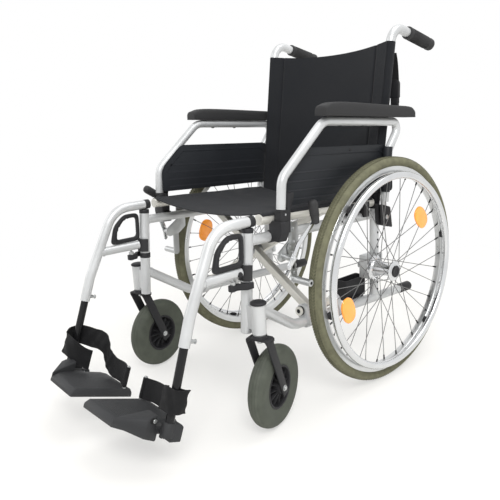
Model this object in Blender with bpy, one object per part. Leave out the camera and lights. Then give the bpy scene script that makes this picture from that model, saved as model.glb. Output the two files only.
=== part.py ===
"""Folding wheelchair: cross-braced frame, spoked rear wheels, casters, swing-away leg rests and flip-back arms.

Metres, +Z up, the chair faces -Y and its left side is at +X. The origin is on the floor, under the
middle of the chair. Each moving piece hangs from an empty that lies on the axis of its joint.
"""

import math

import bmesh
import bpy
from mathutils import Matrix, Vector

# Whole chair
AXLE_HEIGHT = 0.304
FRAME_HEIGHT = 0.3040
AXLE_Y = 0.2380
SEAT_TILT = math.radians(2.4)
TUBE_SIDES = 12
BEND_STEP = math.radians(24)
RUN = 0.0003
PIVOT_RUN = 0.0006

# Side frame, in the tilted frame axes: u runs back and v up from a point at FRAME_HEIGHT over the rear axle's line
SIDE_X = 0.2165
UPRIGHT_RADIUS = 0.0133
UPRIGHT_LOW = (-0.4522, -0.0752)
UPRIGHT_TOP = (-0.4441, 0.1553)
UPPER_RAIL_RADIUS = 0.0121
UPPER_RAIL_FRONT_V = 0.1350
UPPER_RAIL_REAR_V = 0.1445
LOWER_RAIL_RADIUS = 0.0129
LOWER_RAIL_V = -0.0978
LOWER_RAIL_START_V = -0.0075
LOWER_RAIL_BEND_U = -0.2960
LOWER_RAIL_BEND_RADIUS = 0.060
LOWER_RAIL_END_U = 0.1510
REAR_PLUG_LENGTH = 0.058
PLUG_LIP = 0.0006
PLUG_INSET = 0.002
FOOT_CAP_DEPTH = 0.0012
FOOT_CAP_EDGE = 0.0006

# Rear post and push handle, in chair axes from the rear axle and the floor
POST_RADIUS = 0.0125
POST_Y = 0.028
POST_TOP_Z = 0.460
CANE_CORNER = (0.0972, 0.9434)
CANE_CORNER_X = 0.2222
CANE_BEND_RADIUS = 0.042
GRIP_RADIUS = 0.017
GRIP_START = (0.1659, 0.9275)
GRIP_END = (0.2850, 0.9000)
GRIP_END_WALL = 0.006

# Cross brace and seat
LOWER_PIVOT_X = 0.2050
LOWER_PIVOT_V = -0.0725
PIVOT_TUBE_RADIUS = 0.0115
PIVOT_TUBE_U = (-0.2680, -0.1200)
SEAT_RAIL_X = 0.2170
SEAT_RAIL_V = 0.1784
BRACE_WIDTH = 0.0215
BRACE_DEPTH = 0.0200
BRACE_FRONT_U = -0.2283
BRACE_REAR_U = -0.1983
CENTRE_PIN_RADIUS = 0.0060
CENTRE_BUSH_RADIUS = 0.0120
SEAT_RAIL_RADIUS = 0.0125
SEAT_RAIL_U = (-0.4117, 0.0035)
SLING_THICKNESS = 0.0030
SLING_OVERHANG = 0.0050
SLING_SAG = 0.0160
SLING_FLAT_HALF = 0.045
PIVOT_BLOCK_U = (-0.2500, -0.1300)
PIVOT_BLOCK_LENGTH = 0.016
PIVOT_BLOCK_WALL = 0.0045
SEAT_CUP_U = (-0.0945, -0.0350)
SEAT_CUP_LENGTH = 0.022
SEAT_CUP_WALL = 0.0038
SEAT_CUP_RISE = 0.006

# Back sling
BACK_LOW_Z = 0.462
BACK_TOP_Z = 0.900
BACK_THICKNESS = 0.0030
BACK_SAG = 0.020

# Rear wheel
WHEEL_X = 0.2802
WHEEL_STEPS = 40
TYRE_DEPTH = 0.0247
TYRE_INNER_RADIUS = AXLE_HEIGHT - TYRE_DEPTH
TYRE_HALF_WIDTH = 0.0172
RIM_DEPTH = 0.0180
RIM_OUTER_RADIUS = TYRE_INNER_RADIUS - RUN
RIM_INNER_RADIUS = RIM_OUTER_RADIUS - RIM_DEPTH
RIM_HALF_WIDTH = 0.0118
RIM_LIP_HALF_WIDTH = 0.0095
HUB_INNER_X = 0.2370
HUB_OUTER_X = 0.3068
INNER_FLANGE_RADIUS = 0.034
OUTER_FLANGE_RADIUS = 0.027
FLANGE_THICKNESS = 0.0040
OUTER_FLANGE_X = 0.3000
AXLE_RADIUS = 0.0062
AXLE_INNER_X = 0.1860
AXLE_OUTER_X = 0.3030
BUTTON_RADIUS = 0.0156
BUTTON_TOP_X = 0.3100
BUTTON_THICKNESS = 0.0033
BUTTON_TRAVEL = 0.0030
BUTTON_STEM_RADIUS = 0.0030
BUTTON_STEM_LENGTH = 0.020
HANDRIM_X = 0.3076
HANDRIM_INSET = 0.0470
HANDRIM_RADIUS = AXLE_HEIGHT - HANDRIM_INSET
HANDRIM_TUBE = 0.0095
HANDRIM_TABS = 6
HANDRIM_TAB_PHASE = math.radians(17.5)
SPOKE_COUNT = 36
SPOKE_RADIUS = 0.0010
SPOKE_INSET = 0.003
SPOKE_LEAN = math.radians(50)
SPOKE_SPREAD = 0.0026
REFLECTOR_RADIUS = 0.1900
REFLECTOR_SIZE = (0.050, 0.070, 0.0080)
REFLECTOR_X = 0.2858

# Axle bracket on the rear post
BRACKET_RISE = 0.032
BRACKET_FRONT_Y = -0.018
BRACKET_REAR_Y = 0.044
BRACKET_CHEEK = 0.0035
SLEEVE_RADIUS = 0.0115
SLEEVE_X = (0.192, 0.2362)

# Caster
CASTER_X = 0.2563
CASTER_Y = -0.4505
CASTER_RADIUS = 0.100
CASTER_STEPS = 24
CASTER_TRAIL = 0.0554
CASTER_TYRE_INNER = 0.0520
CASTER_TYRE_HALF = 0.0205
CASTER_RIM_HALF = 0.0160
CASTER_HUB_HALF = 0.0225
CASTER_HUB_RADIUS = 0.0150
CASTER_WEB_HALF = 0.0030
CASTER_BOLT_RADIUS = 0.0045
FORK_INNER = 0.0240
FORK_WALL = 0.0045
FORK_TOP_Z = 0.2522
FORK_SHOULDER_Z = 0.2445
FORK_CROWN_Z = 0.2320
FORK_CROWN_Q = (-0.0160, 0.0180)
FORK_LEG_HALF = 0.0105
FORK_LEG_PAST = 0.0180
HOUSING_RADIUS = 0.0165
HOUSING_Z = (0.2528, 0.3230)
STEM_RADIUS = 0.0075
STEM_TOP_Z = 0.3120
HOUSING_CAP_HEIGHT = 0.0070

# Leg rest, points in chair axes
HANGER_RADIUS = 0.01225
HANGER_TOP_Z = 0.5000
HANGER_TAIL = 0.0135
HANGER_KNEE = (0.2168, -0.5290)
HANGER_KNEE_RADIUS = 0.070
HANGER_ELBOW = (0.2240, -0.6113, 0.3300)
HANGER_ELBOW_RADIUS = 0.060
HANGER_END = (0.2258, -0.6323, 0.2710)
HANGER_PIN_RADIUS = 0.0060
HANGER_PIN_V = 0.1280
CROSS_TUBE_RADIUS = 0.0115
CROSS_TUBE_Z = 0.3915
CROSS_TUBE_X = 0.2210
SADDLE_Z = (0.3710, 0.4060)
SADDLE_WALL = 0.0060
GRIP_LOOP_X = 0.2195
GRIP_LOOP_HALF = 0.0060
GRIP_LOOP_OUTER = ((-0.546, 0.4031), (-0.458, 0.4031), (-0.455, 0.481), (-0.499, 0.481), (-0.532, 0.452))
GRIP_LOOP_INNER = ((-0.528, 0.4155), (-0.466, 0.4155), (-0.464, 0.469), (-0.4965, 0.469), (-0.520, 0.447))
LEVER_PIVOT = (0.2180, -0.4880)
LEVER_Z = (0.3535, 0.3680)
LEVER_OUTLINE = (
    (0.2115, -0.498), (0.2245, -0.498), (0.2245, -0.478), (0.2385, -0.463),
    (0.2385, -0.443), (0.2325, -0.443), (0.2325, -0.460), (0.2115, -0.474),
)
EXTENSION_RADIUS = 0.0095
EXTENSION_INSIDE = 0.055
EXTENSION_OUTSIDE = 0.186
EXTENSION_BORE = 0.075
EXTENSION_BORE_RUN = 0.0006

# Footplate, in its own axes: d runs back along the plate and n stands up from it
PLATE_FRONT = (-0.7800, 0.1226)
PLATE_SLOPE = math.atan2(0.3703, 0.9289)
PLATE_LENGTH = 0.161
PLATE_THICKNESS = 0.020
PLATE_INNER_X = 0.031
PLATE_OUTER_X = 0.180
PLATE_CHAMFER = (0.012, 0.028)
WEDGE_PLAN = ((0.1520, 0.0045), (0.2085, 0.0500), (0.2085, 0.0685), (0.1720, 0.0685))
WEDGE_LOW = (0.0050, -0.22)
WEDGE_TOP = (0.0195, 0.21)
PLATE_HINGE_X = 0.200
PLATE_BARREL_RADIUS = 0.0085
PLATE_BARREL_D = (0.0535, 0.1060)
BLOCK_BARREL_D = (0.1065, 0.1265)
BLOCK_X = (0.2110, 0.2395)
BLOCK_D = (0.0700, 0.1265)
BLOCK_N = (-0.0040, 0.0360)
HEEL_ROD_X = 0.0370
HEEL_ROD_D = 0.1400
HEEL_ROD_RADIUS = 0.0030
HEEL_ROD_TOP = 0.0745
STRAP_THICKNESS = 0.0025
STRAP_PATH = ((0.0408, 0.1400, 0.0220), (0.0650, 0.1510, 0.0235), (0.1150, 0.1560, 0.0280),
              (0.1650, 0.1470, 0.0340), (0.2000, 0.1180, 0.0390), (0.2158, 0.0900, 0.0415))
STRAP_WIDTH = 0.050

# Armrest, in chair axes
ARM_X = 0.2485
ARM_RADIUS = 0.0110
ARM_PATH = ((-0.3625, 0.5208), (-0.3570, 0.5880), (-0.2150, 0.7077), (0.0995, 0.6926), (0.0435, 0.6160), (0.0305, 0.4840))
ARM_BENDS = (0.040, 0.050, 0.020, 0.030)
ARM_PIVOT = (0.0400, 0.4400)
ARM_TAB_X = (0.2400, 0.2470)
ARM_TAB_HALF = 0.0085
ARM_PIN_RADIUS = 0.0050
PAD_X = (0.2345, 0.2745)
PAD_TOP = ((-0.230, 0.7385), (-0.220, 0.7450), (-0.168, 0.7500), (0.060, 0.7360), (0.118, 0.7310), (0.136, 0.7205))
PANEL_X = (0.2345, 0.2371)
PANEL_OUTLINE = (
    (-0.359, 0.5240), (-0.357, 0.580), (-0.345, 0.600), (-0.285, 0.651),
    (0.030, 0.637), (0.068, 0.607), (0.074, 0.507),
)
FLAG_OUTLINE = ((0.0106, 0.4800), (0.0569, 0.4660), (0.0674, 0.4064), (0.0157, 0.4208))
FLAG_INNER_X = (0.2297, 0.2393)
FLAG_OUTER_X = (0.2477, 0.2497)
SOCKET_U = (-0.3820, -0.3570)
SOCKET_X = (0.2303, 0.2610)
SOCKET_V = (0.1180, 0.2000)
SOCKET_SHELF_V = 0.1560
LATCH_THICKNESS = 0.0115
LATCH_FLARE = 0.0100
LATCH_FLARE_V = (0.2020, 0.2260)
LATCH_V = (0.1460, 0.2380)
LATCH_X = (0.2430, 0.2540)
LATCH_PIVOT_RISE = 0.003

# Wheel lock, drawn where it is locked
BRAKE_PLATE_X = (0.2295, 0.2330)
BRAKE_PLATE = (
    (-0.322, 0.4820), (-0.294, 0.4820), (-0.294, 0.4150), (-0.318, 0.3980),
    (-0.352, 0.3920), (-0.362, 0.4000), (-0.362, 0.4140), (-0.324, 0.4400),
)
BRAKE_PIVOT = (-0.3440, 0.4050)
SHOE_PIVOT = (-0.3250, 0.4250)
SHOE_ROD = (-0.3125, 0.3435)
SHOE_ARM_X = (0.2346, 0.2380)
SHOE_ARM_HALF = 0.0090
SHOE_ROD_RADIUS = 0.0090
SHOE_ROD_BORE = 0.0040
SHOE_ROD_END_X = 0.2900
BRAKE_PIN_RADIUS = 0.0035
LEVER_PLATE_X = (0.2640, 0.2672)
LEVER_BAR = ((-0.361, 0.386), (-0.344, 0.405), (-0.328, 0.435), (-0.274, 0.480))
LEVER_BAR_HALF = 0.0060
BRAKE_GRIP_RADIUS = 0.0116
BRAKE_GRIP = ((0.2732, -0.2760, 0.4845), (0.2732, -0.2850, 0.5335))
BRAKE_THROW = math.radians(46)
SHOE_RATIO = 0.24

# Stick cup inside the left lower rail
CUP_X = (0.1626, 0.1997)
CUP_Y = (-0.0770, 0.0120)
CUP_Z = (0.2130, 0.2715)
CUP_WALL = 0.0030
CUP_LUG_RISE = 0.009
CUP_LUG_INSET = 0.020

SIDES = {"left": 1, "right": -1}
CASTER_ANGLE = {"left": math.radians(-17.1), "right": math.radians(-10.4)}
BRAKE_LOCKED = {"left": True, "right": False}
REFLECTORS = {"left": (-46.0, 154.0), "right": (40.0, 160.0)}
WHEEL_TURN = {"left": math.radians(96.0), "right": math.radians(-108.6)}

LOOKS = {
    "silver_paint": ((0.74, 0.75, 0.76), 0.35, 0.30),
    "aluminium": ((0.72, 0.73, 0.74), 0.30, 1.0),
    "bright_steel": ((0.80, 0.81, 0.82), 0.18, 1.0),
    "zinc_steel": ((0.62, 0.63, 0.62), 0.35, 1.0),
    "black_plastic": ((0.022, 0.022, 0.024), 0.45, 0.0),
    "grip_rubber": ((0.028, 0.028, 0.030), 0.70, 0.0),
    "grey_tyre": ((0.170, 0.165, 0.095), 0.75, 0.0),
    "caster_tyre": ((0.105, 0.115, 0.095), 0.75, 0.0),
    "black_fabric": ((0.030, 0.032, 0.035), 0.85, 0.0),
    "panel_plastic": ((0.024, 0.027, 0.031), 0.50, 0.0),
    "pad_foam": ((0.045, 0.046, 0.047), 0.80, 0.0),
}

made_materials = {}


def look(slot):
    """The material of a slot, made once."""
    if slot not in made_materials:
        colour, roughness, metallic = LOOKS[slot]
        material = bpy.data.materials.new(slot)
        material.use_nodes = True
        shader = material.node_tree.nodes["Principled BSDF"]
        shader.inputs["Base Color"].default_value = (*colour, 1.0)
        shader.inputs["Roughness"].default_value = roughness
        shader.inputs["Metallic"].default_value = metallic
        made_materials[slot] = material
    return made_materials[slot]


def chair(x, y, z):
    """A point given from the rear axle's line along y and from the floor in z."""
    return Vector((x, y + AXLE_Y, z))


def tilted(x, u, v):
    """A point given in the side frame's tilted axes."""
    back = u * math.cos(SEAT_TILT) + v * math.sin(SEAT_TILT)
    up = v * math.cos(SEAT_TILT) - u * math.sin(SEAT_TILT)
    return chair(x, back, FRAME_HEIGHT + up)


def direction(start, end):
    """The unit vector from one point to another."""
    return (Vector(end) - Vector(start)).normalized()


FRAME_BACK = direction(tilted(0, 0, 0), tilted(0, 1, 0))
PLATE_BACK = Vector((0, math.cos(PLATE_SLOPE), -math.sin(PLATE_SLOPE)))
PLATE_UP = Vector((0, math.sin(PLATE_SLOPE), math.cos(PLATE_SLOPE)))


def on_plate(x, d, n):
    """A point given in the footplate's own axes."""
    return chair(x, *PLATE_FRONT) + PLATE_BACK * d + PLATE_UP * n


def rounded_path(points, radii):
    """The points of a line whose inner corners are rounded by arcs."""
    points = [Vector(p) for p in points]
    path = [points[0]]
    for before, corner, after, radius in zip(points, points[1:], points[2:], radii):
        back = direction(corner, before)
        ahead = direction(corner, after)
        turn = math.pi - back.angle(ahead)
        reach = radius * math.tan(turn / 2)
        centre = corner + (back + ahead).normalized() * (radius / math.cos(turn / 2))
        spoke = corner + back * reach - centre
        axis = spoke.cross(corner + ahead * reach - centre)
        steps = max(2, math.ceil(turn / BEND_STEP))
        for step in range(steps + 1):
            path.append(centre + Matrix.Rotation(turn * step / steps, 3, axis) @ spoke)
    path.append(points[-1])
    return path


def square_to(line):
    """A unit vector square to a line, as near to X as it can be, or to Z for a line along X."""
    guide = Vector((0, 0, 1)) if abs(line.x) > 0.9 else Vector((1, 0, 0))
    return (guide - line * guide.dot(line)).normalized()


def ring_of(centre, line, across, radius, sides, phase=0.0):
    """A circle of points round a line."""
    other = line.cross(across)
    turns = (phase + 2 * math.pi * i / sides for i in range(sides))
    return [centre + across * (radius * math.cos(t)) + other * (radius * math.sin(t)) for t in turns]


def loft(mesh, rings, joined=False):
    """A closed skin through rings of equally many points, with end faces unless the last ring joins the first."""
    rows = [[mesh.verts.new(point) for point in ring] for ring in rings]
    pairs = list(zip(rows, rows[1:]))
    if joined:
        pairs.append((rows[-1], rows[0]))
    else:
        mesh.faces.new(rows[0])
        mesh.faces.new(rows[-1])
    for one, two in pairs:
        for i, corner in enumerate(one):
            j = (i + 1) % len(one)
            mesh.faces.new((corner, one[j], two[j], two[i]))


def tube(mesh, path, radius, sides=TUBE_SIDES):
    """A round bar along a path of points."""
    path = [Vector(p) for p in path]
    lines = [direction(a, b) for a, b in zip(path, path[1:])]
    tangents = [lines[0]]
    tangents += [(a + b).normalized() for a, b in zip(lines, lines[1:])]
    tangents.append(lines[-1])
    across = square_to(tangents[0])
    rings = []
    for i, (point, tangent) in enumerate(zip(path, tangents)):
        if i:
            across = tangents[i - 1].rotation_difference(tangent) @ across
        rings.append(ring_of(point, tangent, across, radius, sides))
    loft(mesh, rings)


def turned(mesh, profile, centre, axis, steps, phase=0.0):
    """A closed loop of (radius, height) points turned round an axis, as a ring."""
    across = square_to(axis)
    rings = []
    for k in range(steps):
        turn = phase + 2 * math.pi * k / steps
        out = across * math.cos(turn) + axis.cross(across) * math.sin(turn)
        rings.append([centre + out * r + axis * h for r, h in profile])
    loft(mesh, rings, joined=True)


def spindle(mesh, profile, centre, axis, steps=TUBE_SIDES, phase=0.0):
    """An open line of (radius, height) points turned round an axis, with flat end faces."""
    across = square_to(axis)
    loft(mesh, [ring_of(centre + axis * h, axis, across, r, steps, phase) for r, h in profile])


def prism(mesh, outline, place, near, far):
    """An outline pushed from one depth to another. place turns (a, b, depth) into a point."""
    loft(mesh, [[place(a, b, depth) for a, b in outline] for depth in (near, far)])


def plate(mesh, outline, side, x_range):
    """A flat plate with a (y, z) outline in chair axes, between two distances from the middle."""
    prism(mesh, outline, lambda y, z, x: chair(side * x, y, z), *x_range)


def block(mesh, low, high, place):
    """A box between two corners in the axes of place."""
    outline = [(low[0], low[1]), (high[0], low[1]), (high[0], high[1]), (low[0], high[1])]
    prism(mesh, outline, place, low[2], high[2])


def strip(points, half):
    """The outline of a flat bar of constant width along a line of (a, b) points."""
    points = [Vector(p) for p in points]
    lines = [(b - a).normalized() for a, b in zip(points, points[1:])]
    left, right = [], []
    for i, point in enumerate(points):
        before = lines[max(i - 1, 0)]
        after = lines[min(i, len(lines) - 1)]
        mean = (before + after).normalized()
        normal = Vector((-mean.y, mean.x)) * (half / mean.dot(before))
        left.append(tuple(point + normal))
        right.append(tuple(point - normal))
    return left + right[::-1]


def capsule(start, end, half, steps=4):
    """The outline of a flat bar with round ends."""
    start, end = Vector(start), Vector(end)
    line = (end - start).normalized()
    angle = math.atan2(line.y, line.x)
    outline = []
    for centre, first in ((end, angle - math.pi / 2), (start, angle + math.pi / 2)):
        for k in range(steps + 1):
            turn = first + math.pi * k / steps
            outline.append((centre.x + half * math.cos(turn), centre.y + half * math.sin(turn)))
    return outline


def turn_about(points, pivot, angle):
    """(y, z) points turned about a pivot, y towards z."""
    cos, sin = math.cos(angle), math.sin(angle)
    turned_points = []
    for y, z in points:
        dy, dz = y - pivot[0], z - pivot[1]
        turned_points.append((pivot[0] + dy * cos - dz * sin, pivot[1] + dy * sin + dz * cos))
    return turned_points


def to_object(name, mesh):
    """A scene object from a mesh under construction, its faces pointing out."""
    bmesh.ops.recalc_face_normals(mesh, faces=mesh.faces)
    data = bpy.data.meshes.new(name)
    mesh.to_mesh(data)
    mesh.free()
    obj = bpy.data.objects.new(name, data)
    bpy.context.scene.collection.objects.link(obj)
    return obj


def pivot(name, origin, axis, parent=None):
    """An empty on a joint's axis, with its own Z along it."""
    turn = axis.to_track_quat("Z", "Y").to_matrix().to_4x4()
    empty = bpy.data.objects.new(name, None)
    empty.empty_display_size = 0.03
    bpy.context.scene.collection.objects.link(empty)
    if parent is not None:
        empty.parent = parent
    empty.matrix_world = Matrix.Translation(origin) @ turn
    bpy.context.view_layer.update()
    return empty


def piece(name, mesh, slot, parent):
    """A finished sub-part, hung from its body's empty."""
    obj = to_object(name, mesh)
    obj.data.materials.append(look(slot))
    obj.data.shade_smooth()
    obj.data.set_sharp_from_angle(angle=math.radians(35))
    obj.parent = parent
    obj.matrix_parent_inverse = parent.matrix_world.inverted()
    return obj


def shape(target, meshes, operation):
    """Joins meshes to a piece, or cuts them from it."""
    for count, mesh in enumerate(meshes):
        tool = to_object(f"{target.name}.{operation.lower()}{count}", mesh)
        tool.hide_render = True
        tool.display_type = "WIRE"
        modifier = target.modifiers.new(tool.name, "BOOLEAN")
        modifier.operation = operation
        modifier.object = tool


def made(build, *args, **kwargs):
    """A new mesh holding one shape."""
    mesh = bmesh.new()
    build(mesh, *args, **kwargs)
    return mesh


def upright_at(side, share):
    """A point on the front upright's centre line, from its foot at 0 to its top at 1."""
    low = tilted(side * SIDE_X, *UPRIGHT_LOW)
    top = tilted(side * SIDE_X, *UPRIGHT_TOP)
    return low.lerp(top, share)


def upright_at_height(side, z):
    """The point of the upright's centre line at a height above the floor."""
    low, top = upright_at(side, 0), upright_at(side, 1)
    return low.lerp(top, (z - low.z) / (top.z - low.z))


UPRIGHT_UP = direction(upright_at(1, 0), upright_at(1, 1))


def upper_rail_ends(side):
    """The two ends of the upper rail's centre line."""
    rear = chair(side * SIDE_X, POST_Y, 0)
    front_u = UPRIGHT_TOP[0] - (UPRIGHT_TOP[1] - UPPER_RAIL_FRONT_V) * 0.035
    start = tilted(side * SIDE_X, front_u, UPPER_RAIL_FRONT_V)
    end_u = (rear.y - AXLE_Y) - UPPER_RAIL_REAR_V * math.tan(SEAT_TILT)
    end = tilted(side * SIDE_X, end_u, UPPER_RAIL_REAR_V)
    return start, end


def cane_path(side, end_cut=0.0):
    """The rear post and push handle as one bent line, stopping short of the handle's end by end_cut."""
    corner = chair(side * CANE_CORNER_X, *CANE_CORNER)
    end = chair(side * CANE_CORNER_X, *GRIP_END)
    end -= direction(corner, end) * end_cut
    foot_u = POST_Y - LOWER_RAIL_V * math.tan(SEAT_TILT)
    foot = tilted(side * SIDE_X, foot_u * math.cos(SEAT_TILT), LOWER_RAIL_V)
    foot.y = POST_Y + AXLE_Y
    knee = chair(side * SIDE_X, POST_Y, POST_TOP_Z)
    upper = rounded_path([knee, corner, end], [CANE_BEND_RADIUS])
    return [foot, *upper]


def cane_point(side, z):
    """The point of the leaning handle tube at a height above the floor."""
    knee = chair(side * SIDE_X, POST_Y, POST_TOP_Z)
    corner = chair(side * CANE_CORNER_X, *CANE_CORNER)
    return knee.lerp(corner, (z - knee.z) / (corner.z - knee.z))


def pivot_block_outline(side):
    """A round-ended wall round the lower rail and the brace's pivot tube, as (x, v) points."""
    rail, tube_centre = (SIDE_X, LOWER_RAIL_V), (LOWER_PIVOT_X, LOWER_PIVOT_V)
    line = math.atan2(tube_centre[1] - rail[1], tube_centre[0] - rail[0])
    outline = []
    for centre, radius, first in (
        (rail, LOWER_RAIL_RADIUS, line + math.pi / 2),
        (tube_centre, PIVOT_TUBE_RADIUS, line - math.pi / 2),
    ):
        for k in range(7):
            turn = first + math.pi * k / 6
            reach = radius + PIVOT_BLOCK_WALL
            outline.append((side * (centre[0] + reach * math.cos(turn)), centre[1] + reach * math.sin(turn)))
    return outline


def seat_rail_centre(side):
    """(x, v) of the seat rail that the brace from the other side carries."""
    return side * SEAT_RAIL_X, SEAT_RAIL_V


def brace_centre_v():
    """The height at which the two braces cross in the middle of the chair."""
    rise = SEAT_RAIL_V - LOWER_PIVOT_V
    return LOWER_PIVOT_V + rise * LOWER_PIVOT_X / (LOWER_PIVOT_X + SEAT_RAIL_X)


def seat_cup(mesh, side, rail_x, rail_v, low_v, u):
    """An open cradle that the seat rail lies in, on the upper rail whose middle is at low_v."""
    inner = SEAT_RAIL_RADIUS + 2 * RUN
    outer = inner + SEAT_CUP_WALL
    top = rail_v + SEAT_CUP_RISE
    floor = rail_v - SEAT_RAIL_RADIUS - RUN
    across = abs(rail_x)
    knee = rail_v - SEAT_RAIL_RADIUS / 2
    outline = [(-outer, low_v), (outer, low_v), (outer, top), (inner, top), (inner, knee), (inner * 0.6, floor)]
    outline += [(-inner * 0.6, floor), (-inner, knee), (-inner, top), (-outer, top)]
    place = lambda x, v, depth: tilted(side * (across + x), depth, v)
    prism(mesh, outline, place, u - SEAT_CUP_LENGTH / 2, u + SEAT_CUP_LENGTH / 2)


def frame_fittings(side):
    """End plugs, hinge bush, seat cups and brace clamps, each as a mesh that is joined to the side frame."""
    foot, top = upright_at(side, 0), upright_at(side, 1)
    wide = UPRIGHT_RADIUS + PLUG_LIP
    cap = [(wide - FOOT_CAP_EDGE, -FOOT_CAP_DEPTH), (wide, FOOT_CAP_EDGE - FOOT_CAP_DEPTH), (wide, PLUG_INSET)]
    bush = [(UPRIGHT_RADIUS, -PLUG_INSET), (UPRIGHT_RADIUS, bush_height(side) - RUN)]
    rail_end = tilted(side * SIDE_X, LOWER_RAIL_END_U, LOWER_RAIL_V)
    wide = LOWER_RAIL_RADIUS + PLUG_LIP
    plug = [(wide, -PLUG_INSET), (wide, REAR_PLUG_LENGTH - 0.004), (wide - 0.003, REAR_PLUG_LENGTH)]
    housing_top = chair(side * CASTER_X, CASTER_Y, HOUSING_Z[1])
    wide = HOUSING_RADIUS + PLUG_LIP
    lid = [(wide, -PLUG_INSET), (wide, HOUSING_CAP_HEIGHT - 0.003), (wide - 0.003, HOUSING_CAP_HEIGHT)]
    meshes = [
        made(spindle, cap, foot, UPRIGHT_UP),
        made(spindle, bush, top, UPRIGHT_UP),
        made(spindle, plug, rail_end, FRAME_BACK),
        made(spindle, lid, housing_top, Vector((0, 0, 1)), 16),
    ]
    half = PIVOT_BLOCK_LENGTH / 2
    place = lambda x, v, depth: tilted(x, depth, v)
    for u in PIVOT_BLOCK_U:
        meshes.append(made(prism, pivot_block_outline(side), place, u - half, u + half))
    rail_x, rail_v = seat_rail_centre(side)
    start, end = upper_rail_ends(side)
    for u in SEAT_CUP_U:
        share = (tilted(0, u, 0).y - start.y) / (end.y - start.y)
        rail_middle = UPPER_RAIL_FRONT_V + share * (UPPER_RAIL_REAR_V - UPPER_RAIL_FRONT_V)
        meshes.append(made(seat_cup, side, rail_x, rail_v, rail_middle, u))
    return meshes


def side_frame(name, side, body):
    """The welded side frame: upright, two rails, rear post with push handle, caster housing and fittings."""
    foot, top = upright_at(side, 0), upright_at(side, 1)
    obj = piece(f"{name}_side_frame", made(tube, [foot, top], UPRIGHT_RADIUS), "silver_paint", body)
    start_u = UPRIGHT_LOW[0] + (LOWER_RAIL_START_V - UPRIGHT_LOW[1]) * 0.035
    lower = rounded_path(
        [
            tilted(side * SIDE_X, start_u, LOWER_RAIL_START_V),
            tilted(side * SIDE_X, LOWER_RAIL_BEND_U, LOWER_RAIL_V),
            tilted(side * SIDE_X, LOWER_RAIL_END_U, LOWER_RAIL_V),
        ],
        [LOWER_RAIL_BEND_RADIUS],
    )
    axis = chair(side * CASTER_X, CASTER_Y, 0)
    up = Vector((0, 0, 1))
    housing = [(HOUSING_RADIUS, z) for z in HOUSING_Z]
    web_low = (side * SIDE_X, CASTER_Y - 0.009, HOUSING_Z[0] + 0.006)
    web_high = (side * CASTER_X, CASTER_Y + 0.009, HOUSING_Z[1] - 0.006)
    tubes = [
        made(tube, upper_rail_ends(side), UPPER_RAIL_RADIUS),
        made(tube, lower, LOWER_RAIL_RADIUS),
        made(tube, cane_path(side, GRIP_END_WALL + RUN), POST_RADIUS),
        made(spindle, housing, axis, up, 16),
        made(block, web_low, web_high, chair),
    ]
    shape(obj, tubes + frame_fittings(side), "UNION")
    stem_bore = [(STEM_RADIUS + PIVOT_RUN, HOUSING_Z[0] - 0.004), (STEM_RADIUS + PIVOT_RUN, STEM_TOP_Z + 0.002)]
    pin_low = HANGER_PIN_V - UPRIGHT_TOP[1] - 0.004
    pin_bore = [(HANGER_PIN_RADIUS + PIVOT_RUN, h) for h in (pin_low, bush_height(side) + 0.002)]
    brace_bore = [tilted(side * LOWER_PIVOT_X, u, LOWER_PIVOT_V) for u in (PIVOT_TUBE_U[0], PIVOT_TUBE_U[1])]
    cuts = [
        made(spindle, stem_bore, axis, up),
        made(spindle, pin_bore, top, UPRIGHT_UP),
        made(tube, brace_bore, PIVOT_TUBE_RADIUS + PIVOT_RUN),
    ]
    shape(obj, cuts, "DIFFERENCE")


def stick_cup(side, body):
    """An open cup for the foot of a walking stick, beside the lower rail."""
    rings = []
    for inset, z in ((0, CUP_Z[0]), (0, CUP_Z[1]), (CUP_WALL, CUP_Z[1]), (CUP_WALL, CUP_Z[0] + CUP_WALL)):
        xs = (CUP_X[0] + inset, CUP_X[1] - inset)
        ys = (CUP_Y[0] + inset, CUP_Y[1] - inset)
        corners = ((xs[0], ys[0]), (xs[1], ys[0]), (xs[1], ys[1]), (xs[0], ys[1]))
        rings.append([chair(side * x, y, z) for x, y in corners])
    obj = piece("left_stick_cup", made(loft, rings), "black_plastic", body)
    low = (side * (CUP_X[1] - CUP_WALL / 2), CUP_Y[0] + CUP_LUG_INSET, CUP_Z[0] + RUN)
    high = (side * (SIDE_X - LOWER_RAIL_RADIUS - RUN), CUP_Y[1] - CUP_LUG_INSET, CUP_Z[0] + CUP_LUG_RISE)
    shape(obj, [made(block, low, high, chair)], "UNION")


def bush_height(side):
    """Room for the hinge bush between the upright's end and the leg rest's top tube, along the upright."""
    rise = HANGER_TOP_Z - HANGER_RADIUS - upright_at(side, 1).z
    return (rise - UPRIGHT_RADIUS * abs(UPRIGHT_UP.y)) / UPRIGHT_UP.z


def push_grip(name, side, body):
    """The rubber grip over the push handle's end."""
    corner = chair(side * CANE_CORNER_X, *CANE_CORNER)
    end = chair(side * CANE_CORNER_X, *GRIP_END)
    line = direction(corner, end)
    length = (Vector(GRIP_END) - Vector(GRIP_START)).length
    bore = POST_RADIUS + RUN
    profile = [(bore, length - GRIP_END_WALL), (bore, 0), (GRIP_RADIUS - 0.0015, 0), (GRIP_RADIUS, 0.004)]
    profile += [(GRIP_RADIUS, length - 0.005), (GRIP_RADIUS - 0.005, length)]
    mesh = made(spindle, profile, end - line * length, line, TUBE_SIDES)
    piece(f"{name}_push_grip", mesh, "grip_rubber", body)


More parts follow.
